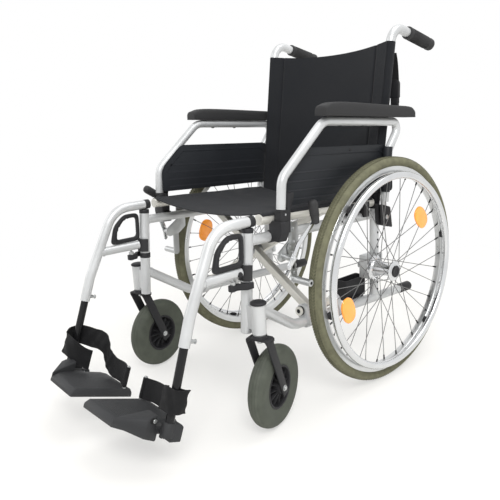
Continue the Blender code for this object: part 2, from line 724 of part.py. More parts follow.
def axle_bracket(name, side, body):
    """The clamp on the rear post that holds the quick-release axle."""
    inner = SIDE_X - POST_RADIUS - RUN
    outer = SIDE_X + POST_RADIUS + RUN
    front = POST_Y - POST_RADIUS - RUN
    y_low, y_high = BRACKET_FRONT_Y, BRACKET_REAR_Y
    z_low, z_high = AXLE_HEIGHT - BRACKET_RISE, AXLE_HEIGHT + BRACKET_RISE
    mesh = bmesh.new()
    outline = [
        (inner - BRACKET_CHEEK, y_low), (outer + BRACKET_CHEEK, y_low), (outer + BRACKET_CHEEK, y_high),
        (outer, y_high), (outer, front), (inner, front), (inner, y_high), (inner - BRACKET_CHEEK, y_high),
    ]
    prism(mesh, outline, lambda x, y, z: chair(side * x, y, z), z_low, z_high)
    obj = piece(f"{name}_axle_bracket", mesh, "silver_paint", body)
    line = Vector((side, 0, 0))
    centre = chair(0, 0, AXLE_HEIGHT)
    shape(obj, [made(spindle, [(SLEEVE_RADIUS, x) for x in SLEEVE_X], centre, line)], "UNION")
    bore = AXLE_RADIUS + RUN
    reach = (SLEEVE_X[0] - 0.01, SLEEVE_X[1] + 0.01)
    shape(obj, [made(spindle, [(bore, x) for x in reach], centre, line)], "DIFFERENCE")


def axle(name, side, body):
    """The hollow quick-release axle, with a wider head inside the frame."""
    line = Vector((side, 0, 0))
    centre = chair(0, 0, AXLE_HEIGHT)
    stem_bore = BUTTON_STEM_RADIUS + PIVOT_RUN
    bore_end = BUTTON_TOP_X - BUTTON_THICKNESS - BUTTON_STEM_LENGTH - BUTTON_TRAVEL - 0.003
    head = SLEEVE_X[0] - RUN
    profile = [(stem_bore, bore_end), (stem_bore, AXLE_OUTER_X), (AXLE_RADIUS, AXLE_OUTER_X), (AXLE_RADIUS, head)]
    profile += [(AXLE_RADIUS + 0.003, head), (AXLE_RADIUS + 0.003, AXLE_INNER_X)]
    piece(f"{name}_axle", made(spindle, profile, centre, line), "zinc_steel", body)


def axle_button(name, side, frame):
    """The release button in the hub's outer end."""
    line = Vector((side, 0, 0))
    centre = chair(0, 0, AXLE_HEIGHT)
    body = pivot(f"{name}_button_axis", centre + line * BUTTON_TOP_X, -line, frame)
    inner = BUTTON_TOP_X - BUTTON_THICKNESS
    profile = [(BUTTON_STEM_RADIUS, inner - BUTTON_STEM_LENGTH), (BUTTON_STEM_RADIUS, inner), (BUTTON_RADIUS, inner)]
    profile += [(BUTTON_RADIUS, BUTTON_TOP_X - 0.0012), (BUTTON_RADIUS - 0.002, BUTTON_TOP_X)]
    piece(f"{name}_axle_button", made(spindle, profile, centre, line, 16), "black_plastic", body)


def rear_wheel(name, side, frame):
    """Rear wheel: tyre, rim, spokes with reflectors, hub and handrim."""
    line = Vector((side, 0, 0))
    hub_centre = chair(0, 0, AXLE_HEIGHT)
    body = pivot(f"{name}_wheel_axis", hub_centre, line, frame)
    middle = hub_centre + line * WHEEL_X
    half_step = math.pi / WHEEL_STEPS
    grow = 1 / math.cos(half_step)
    width = TYRE_HALF_WIDTH
    outer = AXLE_HEIGHT * grow
    inner = TYRE_INNER_RADIUS * grow
    tyre = [(outer, -width * 0.52), (outer, width * 0.52), (outer - 0.0055, width * 0.95), (outer - 0.0145, width)]
    tyre += [(inner, width * 0.72), (inner, -width * 0.72), (outer - 0.0145, -width), (outer - 0.0055, -width * 0.95)]
    piece(f"{name}_rear_tyre", made(turned, tyre, middle, line, WHEEL_STEPS, half_step), "grey_tyre", body)
    top, low, half = RIM_OUTER_RADIUS * grow, RIM_INNER_RADIUS * grow, RIM_HALF_WIDTH
    lip = RIM_LIP_HALF_WIDTH
    rim = [(top, -half + 0.001), (top, half - 0.001), (top - 0.009, half), (low, lip), (low, -lip), (top - 0.009, -half)]
    piece(f"{name}_rear_rim", made(turned, rim, middle, line, WHEEL_STEPS, half_step), "aluminium", body)
    hub = rear_hub(name, hub_centre, line, body)
    shape(hub, spokes(name, side, hub_centre) + reflectors(name, hub_centre, line), "UNION")
    handrim(name, hub_centre, line, half_step, body)


def rear_hub(name, centre, line, body):
    """The hub with its two flanges and a recess for the release button. Its spokes are joined to it."""
    bore = AXLE_RADIUS + PIVOT_RUN
    recess = BUTTON_RADIUS + PIVOT_RUN
    floor = AXLE_OUTER_X - 0.0005
    profile = [
        (bore, HUB_INNER_X), (INNER_FLANGE_RADIUS - 0.006, HUB_INNER_X), (INNER_FLANGE_RADIUS, HUB_INNER_X + 0.001),
        (INNER_FLANGE_RADIUS, HUB_INNER_X + FLANGE_THICKNESS), (0.0235, HUB_INNER_X + FLANGE_THICKNESS + 0.002),
        (0.0150, OUTER_FLANGE_X - 0.014), (0.0165, OUTER_FLANGE_X - 0.002), (OUTER_FLANGE_RADIUS, OUTER_FLANGE_X),
        (OUTER_FLANGE_RADIUS, OUTER_FLANGE_X + FLANGE_THICKNESS), (recess + 0.003, HUB_OUTER_X),
        (recess, HUB_OUTER_X), (recess, floor), (bore, floor),
    ]
    return piece(f"{name}_spoked_hub", made(turned, profile, centre, line, 20), "bright_steel", body)


def spokes(name, side, centre):
    """Crossed spokes from both flanges to the rim."""
    meshes = []
    rim_radius = RIM_INNER_RADIUS - 2 * RUN
    for k in range(SPOKE_COUNT):
        outer = k % 2
        leading = (k // 2) % 2
        layer = SPOKE_SPREAD * (leading - 0.5)
        hub_radius = (OUTER_FLANGE_RADIUS if outer else INNER_FLANGE_RADIUS) - SPOKE_INSET
        hub_x = (OUTER_FLANGE_X if outer else HUB_INNER_X) + FLANGE_THICKNESS / 2 + layer
        rim_x = WHEEL_X + (0.003 if outer else -0.003) + layer
        rim_turn = WHEEL_TURN[name] + 2 * math.pi * (k + 0.5) / SPOKE_COUNT
        hub_turn = rim_turn + (SPOKE_LEAN if leading else -SPOKE_LEAN)
        ends = []
        for radius, x, turn in ((hub_radius, hub_x, hub_turn), (rim_radius, rim_x, rim_turn)):
            ends.append(centre + Vector((side * x, radius * math.sin(turn), radius * math.cos(turn))))
        meshes.append(made(tube, ends, SPOKE_RADIUS, 4))
    return meshes


def reflectors(name, centre, line):
    """The two reflector plates clipped on the outer spokes."""
    meshes = []
    across, along, depth = REFLECTOR_SIZE
    outline = [(a * along / 2, b * across / 2) for a, b in octagon()]
    for degrees in REFLECTORS[name]:
        turn = WHEEL_TURN[name] + math.radians(degrees)
        out = Vector((0, math.sin(turn), math.cos(turn)))
        round_way = Vector((0, math.cos(turn), -math.sin(turn)))
        spot = centre + out * REFLECTOR_RADIUS
        place = lambda a, b, x: spot + round_way * a + out * b + line * x
        meshes.append(made(prism, outline, place, REFLECTOR_X, REFLECTOR_X + depth))
    return meshes


def octagon():
    """The corners of a square with its corners cut, between -1 and 1."""
    cut = 0.45
    return [(-1, -cut), (-cut, -1), (cut, -1), (1, -cut), (1, cut), (cut, 1), (-cut, 1), (-1, cut)]


def handrim(name, centre, line, half_step, body):
    """The push ring and the tabs that carry it on the rim."""
    circle = [(HANDRIM_TUBE * math.cos(t), HANDRIM_TUBE * math.sin(t)) for t in (math.pi * k / 4 for k in range(8))]
    ring = [(HANDRIM_RADIUS + a, HANDRIM_X + b) for a, b in circle]
    mesh = made(turned, ring, centre, line, WHEEL_STEPS, half_step)
    obj = piece(f"{name}_handrim", mesh, "bright_steel", body)
    tabs = []
    for k in range(HANDRIM_TABS):
        turn = HANDRIM_TAB_PHASE + 2 * math.pi * k / HANDRIM_TABS
        out = Vector((0, math.sin(turn), math.cos(turn)))
        round_way = Vector((0, math.cos(turn), -math.sin(turn)))
        place = lambda a, b, x: centre + round_way * a + out * b + line * x
        low = (-0.007, HANDRIM_RADIUS - 0.0035, WHEEL_X + RIM_LIP_HALF_WIDTH + 2 * RUN)
        tabs.append(made(block, low, (0.007, HANDRIM_RADIUS + 0.005, HANDRIM_X - 0.004), place))
    shape(obj, tabs, "UNION")


def caster_axes(name, side):
    """Swivel centre on the floor, trail direction and wheel axle direction of a caster."""
    angle = CASTER_ANGLE[name]
    centre = chair(side * CASTER_X, CASTER_Y, 0)
    back = Vector((math.sin(angle), math.cos(angle), 0))
    out = Vector((math.cos(angle), -math.sin(angle), 0)) * side
    return centre, back, out


def caster(name, side, frame):
    """Caster: fork with its stem and axle bolt, rim and tyre."""
    centre, back, out = caster_axes(name, side)
    up = Vector((0, 0, 1))
    swivel = pivot(f"{name}_caster_swivel_axis", centre + up * HOUSING_Z[0], up, frame)
    place = lambda q, h, p: centre + back * q + up * h + out * p
    crown_front, crown_back = FORK_CROWN_Q
    foot = Vector((CASTER_TRAIL, CASTER_RADIUS))
    neck = Vector((0, FORK_CROWN_Z))
    along = (foot - neck).normalized()
    wide = Vector((-along.y, along.x)) * FORK_LEG_HALF
    end = foot + along * FORK_LEG_PAST
    leg = [(crown_front, FORK_SHOULDER_Z), (crown_front, FORK_CROWN_Z + 0.004), tuple(neck - wide)]
    leg += [tuple(end - wide), tuple(end + wide), tuple(neck + wide)]
    leg += [(crown_back, FORK_CROWN_Z + 0.004), (crown_back, FORK_SHOULDER_Z)]
    outer = FORK_INNER + FORK_WALL
    obj = piece(f"{name}_caster_fork", made(prism, leg, place, FORK_INNER, outer), "black_plastic", swivel)
    crown_top = FORK_SHOULDER_Z - 0.0004
    front, rear = crown_front + 0.0005, crown_back - 0.0005
    crown = [(front, FORK_CROWN_Z), (rear, FORK_CROWN_Z), (rear, crown_top), (front, crown_top)]
    seat = [(HOUSING_RADIUS, crown_top - 0.002), (HOUSING_RADIUS, FORK_TOP_Z)]
    axle_centre = centre + back * CASTER_TRAIL + up * CASTER_RADIUS
    bolt_reach = outer + 0.0035
    bolt = [(0.0070, -bolt_reach), (0.0070, -outer + 0.001), (CASTER_BOLT_RADIUS, -outer + 0.001)]
    bolt += [(r, -h) for r, h in reversed(bolt)]
    shape(
        obj,
        [
            made(prism, leg, place, -outer, -FORK_INNER),
            made(prism, crown, place, -FORK_INNER - 0.002, FORK_INNER + 0.002),
            made(spindle, seat, centre, up, 16),
            made(spindle, [(STEM_RADIUS, FORK_TOP_Z - 0.004), (STEM_RADIUS, STEM_TOP_Z)], centre, up),
            made(spindle, bolt, axle_centre, out),
        ],
        "UNION",
    )
    spin = pivot(f"{name}_caster_wheel_axis", axle_centre, out, swivel)
    half_step = math.pi / CASTER_STEPS
    grow = 1 / math.cos(half_step)
    outer, inner, half = CASTER_RADIUS * grow, CASTER_TYRE_INNER * grow, CASTER_TYRE_HALF
    tyre = [(outer, -half * 0.35), (outer, half * 0.35), (outer - 0.007, half * 0.84), (outer - 0.020, half)]
    tyre += [(inner + 0.010, half * 0.96), (inner, half * 0.80)]
    tyre += [(r, -h) for r, h in reversed(tyre[2:])]
    tyre_mesh = made(turned, tyre, axle_centre, out, CASTER_STEPS, half_step)
    piece(f"{name}_caster_tyre", tyre_mesh, "caster_tyre", spin)
    caster_rim(name, axle_centre, out, grow, half_step, spin)


def caster_rim(name, centre, out, grow, half_step, body):
    """The caster's one-piece wheel: hub, web and rim."""
    top = CASTER_TYRE_INNER * grow - RUN
    inner = top - 0.009
    bore = CASTER_BOLT_RADIUS + PIVOT_RUN
    half, hub, web = CASTER_RIM_HALF, CASTER_HUB_HALF, CASTER_WEB_HALF
    profile = [
        (bore, -hub), (CASTER_HUB_RADIUS, -hub), (CASTER_HUB_RADIUS, -web), (inner, -web), (inner + 0.002, -half),
        (top, -half), (top, half), (inner + 0.002, half), (inner, web), (CASTER_HUB_RADIUS, web),
        (CASTER_HUB_RADIUS, hub), (bore, hub),
    ]
    piece(f"{name}_caster_rim", made(turned, profile, centre, out, CASTER_STEPS, half_step), "black_plastic", body)


def hanger_points(side):
    """The knee, elbow and lower end of a leg rest's tube."""
    knee = chair(side * HANGER_KNEE[0], HANGER_KNEE[1], HANGER_TOP_Z)
    elbow = chair(side * HANGER_ELBOW[0], *HANGER_ELBOW[1:])
    end = chair(side * HANGER_END[0], *HANGER_END[1:])
    return knee, elbow, end


def leg_rest(name, side, frame):
    """Swing-away leg rest: bent tube, grip housing, release lever, extension, footplate and heel strap."""
    hinge = upright_at_height(side, HANGER_TOP_Z)
    body = pivot(f"{name}_hanger_axis", hinge, UPRIGHT_UP * side, frame)
    knee, elbow, end = hanger_points(side)
    tail = hinge + Vector((0, HANGER_TAIL, 0))
    path = rounded_path([tail, knee, elbow, end], [HANGER_KNEE_RADIUS, HANGER_ELBOW_RADIUS])
    obj = piece(f"{name}_hanger", made(tube, path, HANGER_RADIUS), "silver_paint", body)
    cross_start = knee.lerp(elbow, (HANGER_TOP_Z - CROSS_TUBE_Z) / (HANGER_TOP_Z - HANGER_ELBOW[2]))
    upright = upright_at_height(side, CROSS_TUBE_Z)
    saddle_reach = UPRIGHT_RADIUS + RUN + SADDLE_WALL
    cross_end = upright - Vector((0, saddle_reach + 4 * RUN, 0))
    pin_top = bush_height(side) + HANGER_RADIUS
    pin = [(HANGER_PIN_RADIUS, HANGER_PIN_V - UPRIGHT_TOP[1]), (HANGER_PIN_RADIUS, pin_top)]
    shape(
        obj,
        [
            made(tube, [cross_start, cross_end], CROSS_TUBE_RADIUS),
            made(spindle, pin, upright_at(side, 1), UPRIGHT_UP),
        ],
        "UNION",
    )
    slide = direction(elbow, end)
    bore = [end + slide * 0.004, end - slide * EXTENSION_BORE]
    shape(obj, [made(tube, bore, EXTENSION_RADIUS + EXTENSION_BORE_RUN)], "DIFFERENCE")
    hanger_grip(name, side, saddle_reach, body)
    release_lever(name, side, body)
    extension(name, side, end, slide, body)


def hanger_grip(name, side, saddle_reach, body):
    """The black loop grip, in one piece with the saddle that rests on the upright."""
    near, far = side * (GRIP_LOOP_X - GRIP_LOOP_HALF), side * (GRIP_LOOP_X + GRIP_LOOP_HALF)
    rings = []
    for outer, inner in zip(GRIP_LOOP_OUTER, GRIP_LOOP_INNER):
        rings.append([chair(near, *outer), chair(far, *outer), chair(far, *inner), chair(near, *inner)])
    obj = piece(f"{name}_hanger_grip", made(loft, rings, True), "black_plastic", body)
    inner_radius = saddle_reach - SADDLE_WALL + PIVOT_RUN
    turns = [math.radians(-88 + 22 * k) for k in range(9)]
    outline = [(saddle_reach * math.sin(t), -saddle_reach * math.cos(t)) for t in turns]
    outline += [(inner_radius * math.sin(t), -inner_radius * math.cos(t)) for t in reversed(turns)]
    front = UPRIGHT_UP.cross(Vector((1, 0, 0)))
    place = lambda a, b, z: upright_at_height(side, z) + Vector((a, 0, 0)) + front * b
    shape(obj, [made(prism, outline, place, *SADDLE_Z)], "UNION")


def release_lever(name, side, hanger):
    """The lever under the cross tube that frees the leg rest."""
    bolt = chair(side * LEVER_PIVOT[0], LEVER_PIVOT[1], 0)
    up = Vector((0, 0, 1))
    body = pivot(f"{name}_release_axis", bolt + up * LEVER_Z[0], -up * side, hanger)
    mesh = made(prism, LEVER_OUTLINE, lambda x, y, z: chair(side * x, y, z), *LEVER_Z)
    obj = piece(f"{name}_release_lever", mesh, "black_plastic", body)
    stem = [(0.0050, LEVER_Z[0] - 0.002), (0.0050, LEVER_Z[0] + 0.001), (0.0030, LEVER_Z[0] + 0.001)]
    stem.append((0.0030, CROSS_TUBE_Z - CROSS_TUBE_RADIUS - 2 * RUN))
    shape(obj, [made(spindle, stem, bolt, up)], "UNION")


def extension(name, side, end, slide, hanger):
    """The tube that sets the leg length, with the hinge block for the footplate at its foot."""
    body = pivot(f"{name}_extension_axis", end, -slide, hanger)
    path = [end - slide * EXTENSION_INSIDE, end + slide * EXTENSION_OUTSIDE]
    obj = piece(f"{name}_extension_tube", made(tube, path, EXTENSION_RADIUS), "black_plastic", body)
    place = lambda x, d, n: on_plate(side * x, d, n)
    middle_n = PLATE_THICKNESS / 2
    barrel = [on_plate(side * PLATE_HINGE_X, d, middle_n) for d in BLOCK_BARREL_D]
    arm_low = (PLATE_HINGE_X, BLOCK_BARREL_D[0] + 0.0004, middle_n - 0.006)
    arm_high = (BLOCK_X[0] + 0.002, BLOCK_BARREL_D[1] - 0.0004, middle_n + 0.006)
    corners = [(BLOCK_X[i], BLOCK_D[i], BLOCK_N[i]) for i in range(2)]
    shape(
        obj,
        [
            made(block, *corners, place),
            made(block, arm_low, arm_high, place),
            made(tube, barrel, PLATE_BARREL_RADIUS),
        ],
        "UNION",
    )
    footplate(name, side, place, body)


def footplate(name, side, place, extension_body):
    """The flip-up footplate with its hinge barrel and heel-strap rod, and the strap."""
    middle_n = PLATE_THICKNESS / 2
    origin = place(PLATE_HINGE_X, sum(PLATE_BARREL_D) / 2, middle_n)
    body = pivot(f"{name}_footplate_axis", origin, PLATE_BACK * side, extension_body)
    cut_x, cut_d = PLATE_CHAMFER
    outline = [
        (PLATE_INNER_X, 0.002), (PLATE_INNER_X + 0.004, 0), (PLATE_OUTER_X - cut_d, 0.004), (PLATE_OUTER_X, cut_d),
        (PLATE_OUTER_X, PLATE_LENGTH - cut_x), (PLATE_OUTER_X - cut_x, PLATE_LENGTH), (PLATE_INNER_X, PLATE_LENGTH),
    ]
    obj = piece(f"{name}_footplate", made(prism, outline, place, 0, PLATE_THICKNESS), "black_plastic", body)
    barrel = [place(PLATE_HINGE_X, d, middle_n) for d in PLATE_BARREL_D]
    arm_low = (PLATE_OUTER_X - 0.004, PLATE_BARREL_D[0] + 0.0004, middle_n - 0.006)
    arm_high = (PLATE_HINGE_X, PLATE_BARREL_D[1] - 0.0004, middle_n + 0.006)
    rod = [place(HEEL_ROD_X + HEEL_ROD_RADIUS, HEEL_ROD_D, n) for n in (PLATE_THICKNESS - 0.004, HEEL_ROD_TOP)]
    wedge = [[place(x, d, base + rise * d) for x, d in WEDGE_PLAN] for base, rise in (WEDGE_LOW, WEDGE_TOP)]
    shape(
        obj,
        [
            made(tube, barrel, PLATE_BARREL_RADIUS),
            made(block, arm_low, arm_high, place),
            made(tube, rod, HEEL_ROD_RADIUS, 8),
            made(loft, wedge),
        ],
        "UNION",
    )
    heel_strap(name, place, body)


def heel_strap(name, place, body):
    """The webbing band behind the heel, from the plate's rod to the extension tube."""
    mesh = bmesh.new()
    rod_edge = HEEL_ROD_X + 2 * HEEL_ROD_RADIUS + RUN
    flat = [Vector((x, d)) for x, d, _ in STRAP_PATH]
    flat[0].x = rod_edge
    rings = []
    for i, (point, (_, _, low)) in enumerate(zip(flat, STRAP_PATH)):
        line = (flat[min(i + 1, len(flat) - 1)] - flat[max(i - 1, 0)]).normalized()
        normal = Vector((-line.y, line.x)) * (STRAP_THICKNESS / 2)
        one, two = point + normal, point - normal
        high = low + STRAP_WIDTH
        rings.append([place(*one, low), place(*two, low), place(*two, high), place(*one, high)])
    loft(mesh, rings)
    piece(f"{name}_heel_strap", mesh, "black_fabric", body)


def arm_sockets(name, side, body):
    """The front block that the armrest stands on and the rear socket that it turns in."""
    outline = [
        (SIDE_X, SOCKET_V[0]), (SOCKET_X[1], SOCKET_V[0]), (SOCKET_X[1], SOCKET_V[1]), (SOCKET_X[0], SOCKET_V[1]),
        (SOCKET_X[0], SOCKET_SHELF_V), (SIDE_X, SOCKET_SHELF_V),
    ]
    mesh = made(prism, outline, lambda x, v, u: tilted(side * x, u, v), *SOCKET_U)
    front = piece(f"{name}_front_arm_socket", mesh, "black_plastic", body)
    rail_bore = made(tube, upper_rail_ends(side), UPPER_RAIL_RADIUS + RUN)
    shape(front, [rail_bore], "DIFFERENCE")
    mesh = made(plate, FLAG_OUTLINE, side, FLAG_INNER_X)
    rear = piece(f"{name}_rear_arm_socket", mesh, "black_plastic", body)
    line = Vector((side, 0, 0))
    pin = [(ARM_PIN_RADIUS, FLAG_INNER_X[1] - 0.003), (ARM_PIN_RADIUS, FLAG_OUTER_X[0] + 0.001)]
    shape(rear, [made(spindle, pin, chair(0, *ARM_PIVOT), line), made(plate, FLAG_OUTLINE, side, FLAG_OUTER_X)], "UNION")


def armrest(name, side, frame):
    """Flip-back armrest: bent tube, pad and side panel."""
    origin = chair(side * ARM_X, *ARM_PIVOT)
    body = pivot(f"{name}_armrest_axis", origin, Vector((-1, 0, 0)), frame)
    path = rounded_path([chair(side * ARM_X, y, z) for y, z in ARM_PATH], ARM_BENDS)
    obj = piece(f"{name}_armrest_tube", made(tube, path, ARM_RADIUS), "silver_paint", body)
    leg_end = Vector(ARM_PATH[-1])
    leg_line = (Vector(ARM_PATH[-2]) - leg_end).normalized()
    tab = capsule(ARM_PIVOT, leg_end + leg_line * 0.006, ARM_TAB_HALF)
    pin_bore = [(ARM_PIN_RADIUS + PIVOT_RUN, x) for x in (ARM_TAB_X[0] - 0.002, ARM_TAB_X[1] + 0.002)]
    shape(obj, [made(plate, tab, side, ARM_TAB_X)], "UNION")
    shape(obj, [made(spindle, pin_bore, chair(0, *ARM_PIVOT), Vector((side, 0, 0)))], "DIFFERENCE")
    top_line = (Vector(ARM_PATH[2]), Vector(ARM_PATH[3]))
    slope = (top_line[1].y - top_line[0].y) / (top_line[1].x - top_line[0].x)
    under = [(y, top_line[0].y + (y - top_line[0].x) * slope + ARM_RADIUS + 2 * RUN) for y, _ in PAD_TOP]
    outline = [under[0], *PAD_TOP, under[-1]]
    piece(f"{name}_armrest_pad", made(plate, outline, side, PAD_X), "pad_foam", body)
    piece(f"{name}_side_panel", made(plate, PANEL_OUTLINE, side, PANEL_X), "panel_plastic", body)


def arm_latch(name, side, frame):
    """The lever that frees the armrest's front leg, behind its socket."""
    front = SOCKET_U[1] + RUN
    back = front + LATCH_THICKNESS
    origin = tilted(side * sum(LATCH_X) / 2, (front + back) / 2, LATCH_V[0] + LATCH_PIVOT_RISE)
    body = pivot(f"{name}_latch_axis", origin, Vector((-1, 0, 0)), frame)
    outline = [
        (front, LATCH_V[0] + 0.002), (front + 0.002, LATCH_V[0]), (back - 0.002, LATCH_V[0]),
        (back, LATCH_V[0] + 0.002), (back, LATCH_FLARE_V[0]), (back + LATCH_FLARE, LATCH_FLARE_V[1]),
        (back + LATCH_FLARE, LATCH_V[1]), (front, LATCH_V[1]),
    ]
    mesh = made(prism, outline, lambda u, v, x: tilted(side * x, u, v), *LATCH_X)
    piece(f"{name}_arm_latch", mesh, "black_plastic", body)


def brake(name, side, frame):
    """Wheel lock: mounting plate with two pins, hand lever, and shoe arm with its rod."""
    line = Vector((side, 0, 0))
    obj = piece(f"{name}_brake_mount", made(plate, BRAKE_PLATE, side, BRAKE_PLATE_X), "zinc_steel", frame)
    inside = BRAKE_PLATE_X[1] - 0.001
    lever_pin = [(BRAKE_PIN_RADIUS, inside), (BRAKE_PIN_RADIUS, LEVER_PLATE_X[1] + 0.002)]
    shoe_pin = [(BRAKE_PIN_RADIUS, inside), (BRAKE_PIN_RADIUS, SHOE_ARM_X[1] + 0.002)]
    shape(
        obj,
        [
            made(spindle, lever_pin, chair(0, *BRAKE_PIVOT), line),
            made(spindle, shoe_pin, chair(0, *SHOE_PIVOT), line),
        ],
        "UNION",
    )
    turn = 0.0 if BRAKE_LOCKED[name] else BRAKE_THROW
    lever_body = pivot(f"{name}_brake_axis", chair(side * LEVER_PLATE_X[0], *BRAKE_PIVOT), Vector((1, 0, 0)), frame)
    bar = turn_about(strip(LEVER_BAR, LEVER_BAR_HALF), BRAKE_PIVOT, turn)
    lever = piece(f"{name}_brake_lever", made(plate, bar, side, LEVER_PLATE_X), "zinc_steel", lever_body)
    grip = []
    for x, y, z in BRAKE_GRIP:
        (turned_y, turned_z), = turn_about([(y, z)], BRAKE_PIVOT, turn)
        grip.append(chair(side * x, turned_y, turned_z))
    grip[0] -= direction(*grip) * 0.006
    shape(lever, [made(tube, grip, BRAKE_GRIP_RADIUS)], "UNION")
    bore = [(BRAKE_PIN_RADIUS + PIVOT_RUN, x) for x in (LEVER_PLATE_X[0] - 0.003, LEVER_PLATE_X[1] + 0.003)]
    shape(lever, [made(spindle, bore, chair(0, *BRAKE_PIVOT), line)], "DIFFERENCE")
    shoe_body = pivot(f"{name}_shoe_axis", chair(side * SHOE_ARM_X[0], *SHOE_PIVOT), Vector((1, 0, 0)), frame)
    back = -SHOE_RATIO * turn
    arm = turn_about(capsule(SHOE_PIVOT, SHOE_ROD, SHOE_ARM_HALF), SHOE_PIVOT, back)
    shoe = piece(f"{name}_brake_shoe", made(plate, arm, side, SHOE_ARM_X), "zinc_steel", shoe_body)
    rod_at, = turn_about([SHOE_ROD], SHOE_PIVOT, back)
    rod = [(SHOE_ROD_RADIUS - 0.0006, SHOE_ARM_X[0] + 0.001), (SHOE_ROD_RADIUS - 0.0006, SHOE_ROD_END_X)]
    shape(shoe, [made(spindle, rod, chair(0, *rod_at), line)], "UNION")
    rod_bore = [(SHOE_ROD_BORE, SHOE_ROD_END_X - 0.030), (SHOE_ROD_BORE, SHOE_ROD_END_X + 0.004)]
    pin_bore = [(BRAKE_PIN_RADIUS + PIVOT_RUN, x) for x in (SHOE_ARM_X[0] - 0.003, SHOE_ARM_X[1] + 0.003)]
    cuts = [made(spindle, rod_bore, chair(0, *rod_at), line), made(spindle, pin_bore, chair(0, *SHOE_PIVOT), line)]
    shape(shoe, cuts, "DIFFERENCE")


def brace(name, side, u, body, with_pin):
    """One bar of the cross brace with its pivot tube on this side and its seat rail on the other."""
    low = tilted(side * LOWER_PIVOT_X, u, LOWER_PIVOT_V)
    rail_x, rail_v = seat_rail_centre(-side)
    high = tilted(rail_x, u, rail_v)
    line = direction(low, high)
    across = FRAME_BACK.cross(line)
    half, depth = BRACE_WIDTH / 2, BRACE_DEPTH / 2
    corners = ((-half, -depth), (half, -depth), (half, depth), (-half, depth))
    rings = [[end + across * a + FRAME_BACK * b for a, b in corners] for end in (low, high)]
    obj = piece(name, made(loft, rings), "silver_paint", body)
    pivot_tube = [tilted(side * LOWER_PIVOT_X, end_u, LOWER_PIVOT_V) for end_u in PIVOT_TUBE_U]
    rail = [tilted(rail_x, end_u, rail_v) for end_u in SEAT_RAIL_U]
    joined = [made(tube, pivot_tube, PIVOT_TUBE_RADIUS), made(tube, rail, SEAT_RAIL_RADIUS)]
    centre = tilted(0, 0, brace_centre_v())
    if with_pin:
        face = BRACE_FRONT_U + depth
        far = BRACE_REAR_U - depth
        pin = [
            (0.0100, BRACE_FRONT_U - depth - 0.003), (0.0100, BRACE_FRONT_U), (CENTRE_BUSH_RADIUS, BRACE_FRONT_U),
            (CENTRE_BUSH_RADIUS, far - RUN), (CENTRE_PIN_RADIUS, far - RUN),
            (CENTRE_PIN_RADIUS, BRACE_REAR_U + depth + 0.005),
        ]
        joined.append(made(spindle, pin, centre, FRAME_BACK))
        shape(obj, joined, "UNION")
    else:
        shape(obj, joined, "UNION")
        bore = [(CENTRE_PIN_RADIUS + PIVOT_RUN, u - depth - 0.003), (CENTRE_PIN_RADIUS + PIVOT_RUN, u + depth + 0.003)]
        shape(obj, [made(spindle, bore, centre, FRAME_BACK)], "DIFFERENCE")
    return centre


def seat_sling(body):
    """The seat's cloth, lying over both seat rails and sagging between them."""
    rail_x, rail_v = seat_rail_centre(1)
    edge = rail_x + SLING_OVERHANG
    inner = rail_x - SEAT_RAIL_RADIUS
    low = rail_v + SEAT_RAIL_RADIUS + RUN
    stations = [(edge, 0.0), (inner, 0.0), (0.150, 0.55), (0.095, 0.88), (SLING_FLAT_HALF, 1.0)]
    stations += [(-x, sag) for x, sag in reversed(stations)]
    rings = []
    for x, sag in stations:
        v = low - SLING_SAG * sag
        rings.append([
            tilted(x, SEAT_RAIL_U[0] + 0.004, v), tilted(x, SEAT_RAIL_U[1] - 0.006, v),
            tilted(x, SEAT_RAIL_U[1] - 0.006, v + SLING_THICKNESS), tilted(x, SEAT_RAIL_U[0] + 0.004, v + SLING_THICKNESS),
        ])
    piece("seat_sling", made(loft, rings), "black_fabric", body)


def back_sling(body):
    """The back's cloth, held between the two push handle tubes."""
    rings = []
    for share in (-1, -0.75, -0.4, 0, 0.4, 0.75, 1):
        ring = []
        for z, shift in ((BACK_LOW_Z, -1), (BACK_TOP_Z, -1), (BACK_TOP_Z, 1), (BACK_LOW_Z, 1)):
            tube_centre = cane_point(1, z)
            edge = tube_centre.x - POST_RADIUS - RUN
            bow = BACK_SAG * (1 - share * share)
            ring.append(Vector((edge * share, tube_centre.y + bow + shift * BACK_THICKNESS / 2, z)))
        rings.append(ring)
    piece("back_sling", made(loft, rings), "black_fabric", body)


def build_side(name, side, frame):
    """Everything that one side frame carries."""
    side_frame(name, side, frame)
    push_grip(name, side, frame)
    arm_sockets(name, side, frame)
    axle_bracket(name, side, frame)
    axle(name, side, frame)
    axle_button(name, side, frame)
    rear_wheel(name, side, frame)
    caster(name, side, frame)
    leg_rest(name, side, frame)
    armrest(name, side, frame)
    arm_latch(name, side, frame)
    brake(name, side, frame)


def main():
    """Clears the scene and builds the chair, hung from the left side frame."""
    for obj in list(bpy.data.objects):
        bpy.data.objects.remove(obj)
    left_frame = pivot("left_frame", chair(0, 0, 0), Vector((0, 0, 1)))
    fold = pivot("fold_axis", tilted(LOWER_PIVOT_X, 0, LOWER_PIVOT_V), FRAME_BACK, left_frame)
    centre = brace("front_brace", 1, BRACE_FRONT_U, fold, True)
    scissor = pivot("scissor_axis", centre, FRAME_BACK, fold)
    brace("rear_brace", -1, BRACE_REAR_U, scissor, False)
    right_frame = pivot("right_frame", tilted(-LOWER_PIVOT_X, 0, LOWER_PIVOT_V), FRAME_BACK, scissor)
    build_side("left", SIDES["left"], left_frame)
    build_side("right", SIDES["right"], right_frame)
    stick_cup(SIDES["left"], left_frame)
    seat_sling(scissor)
    back_sling(left_frame)


main()
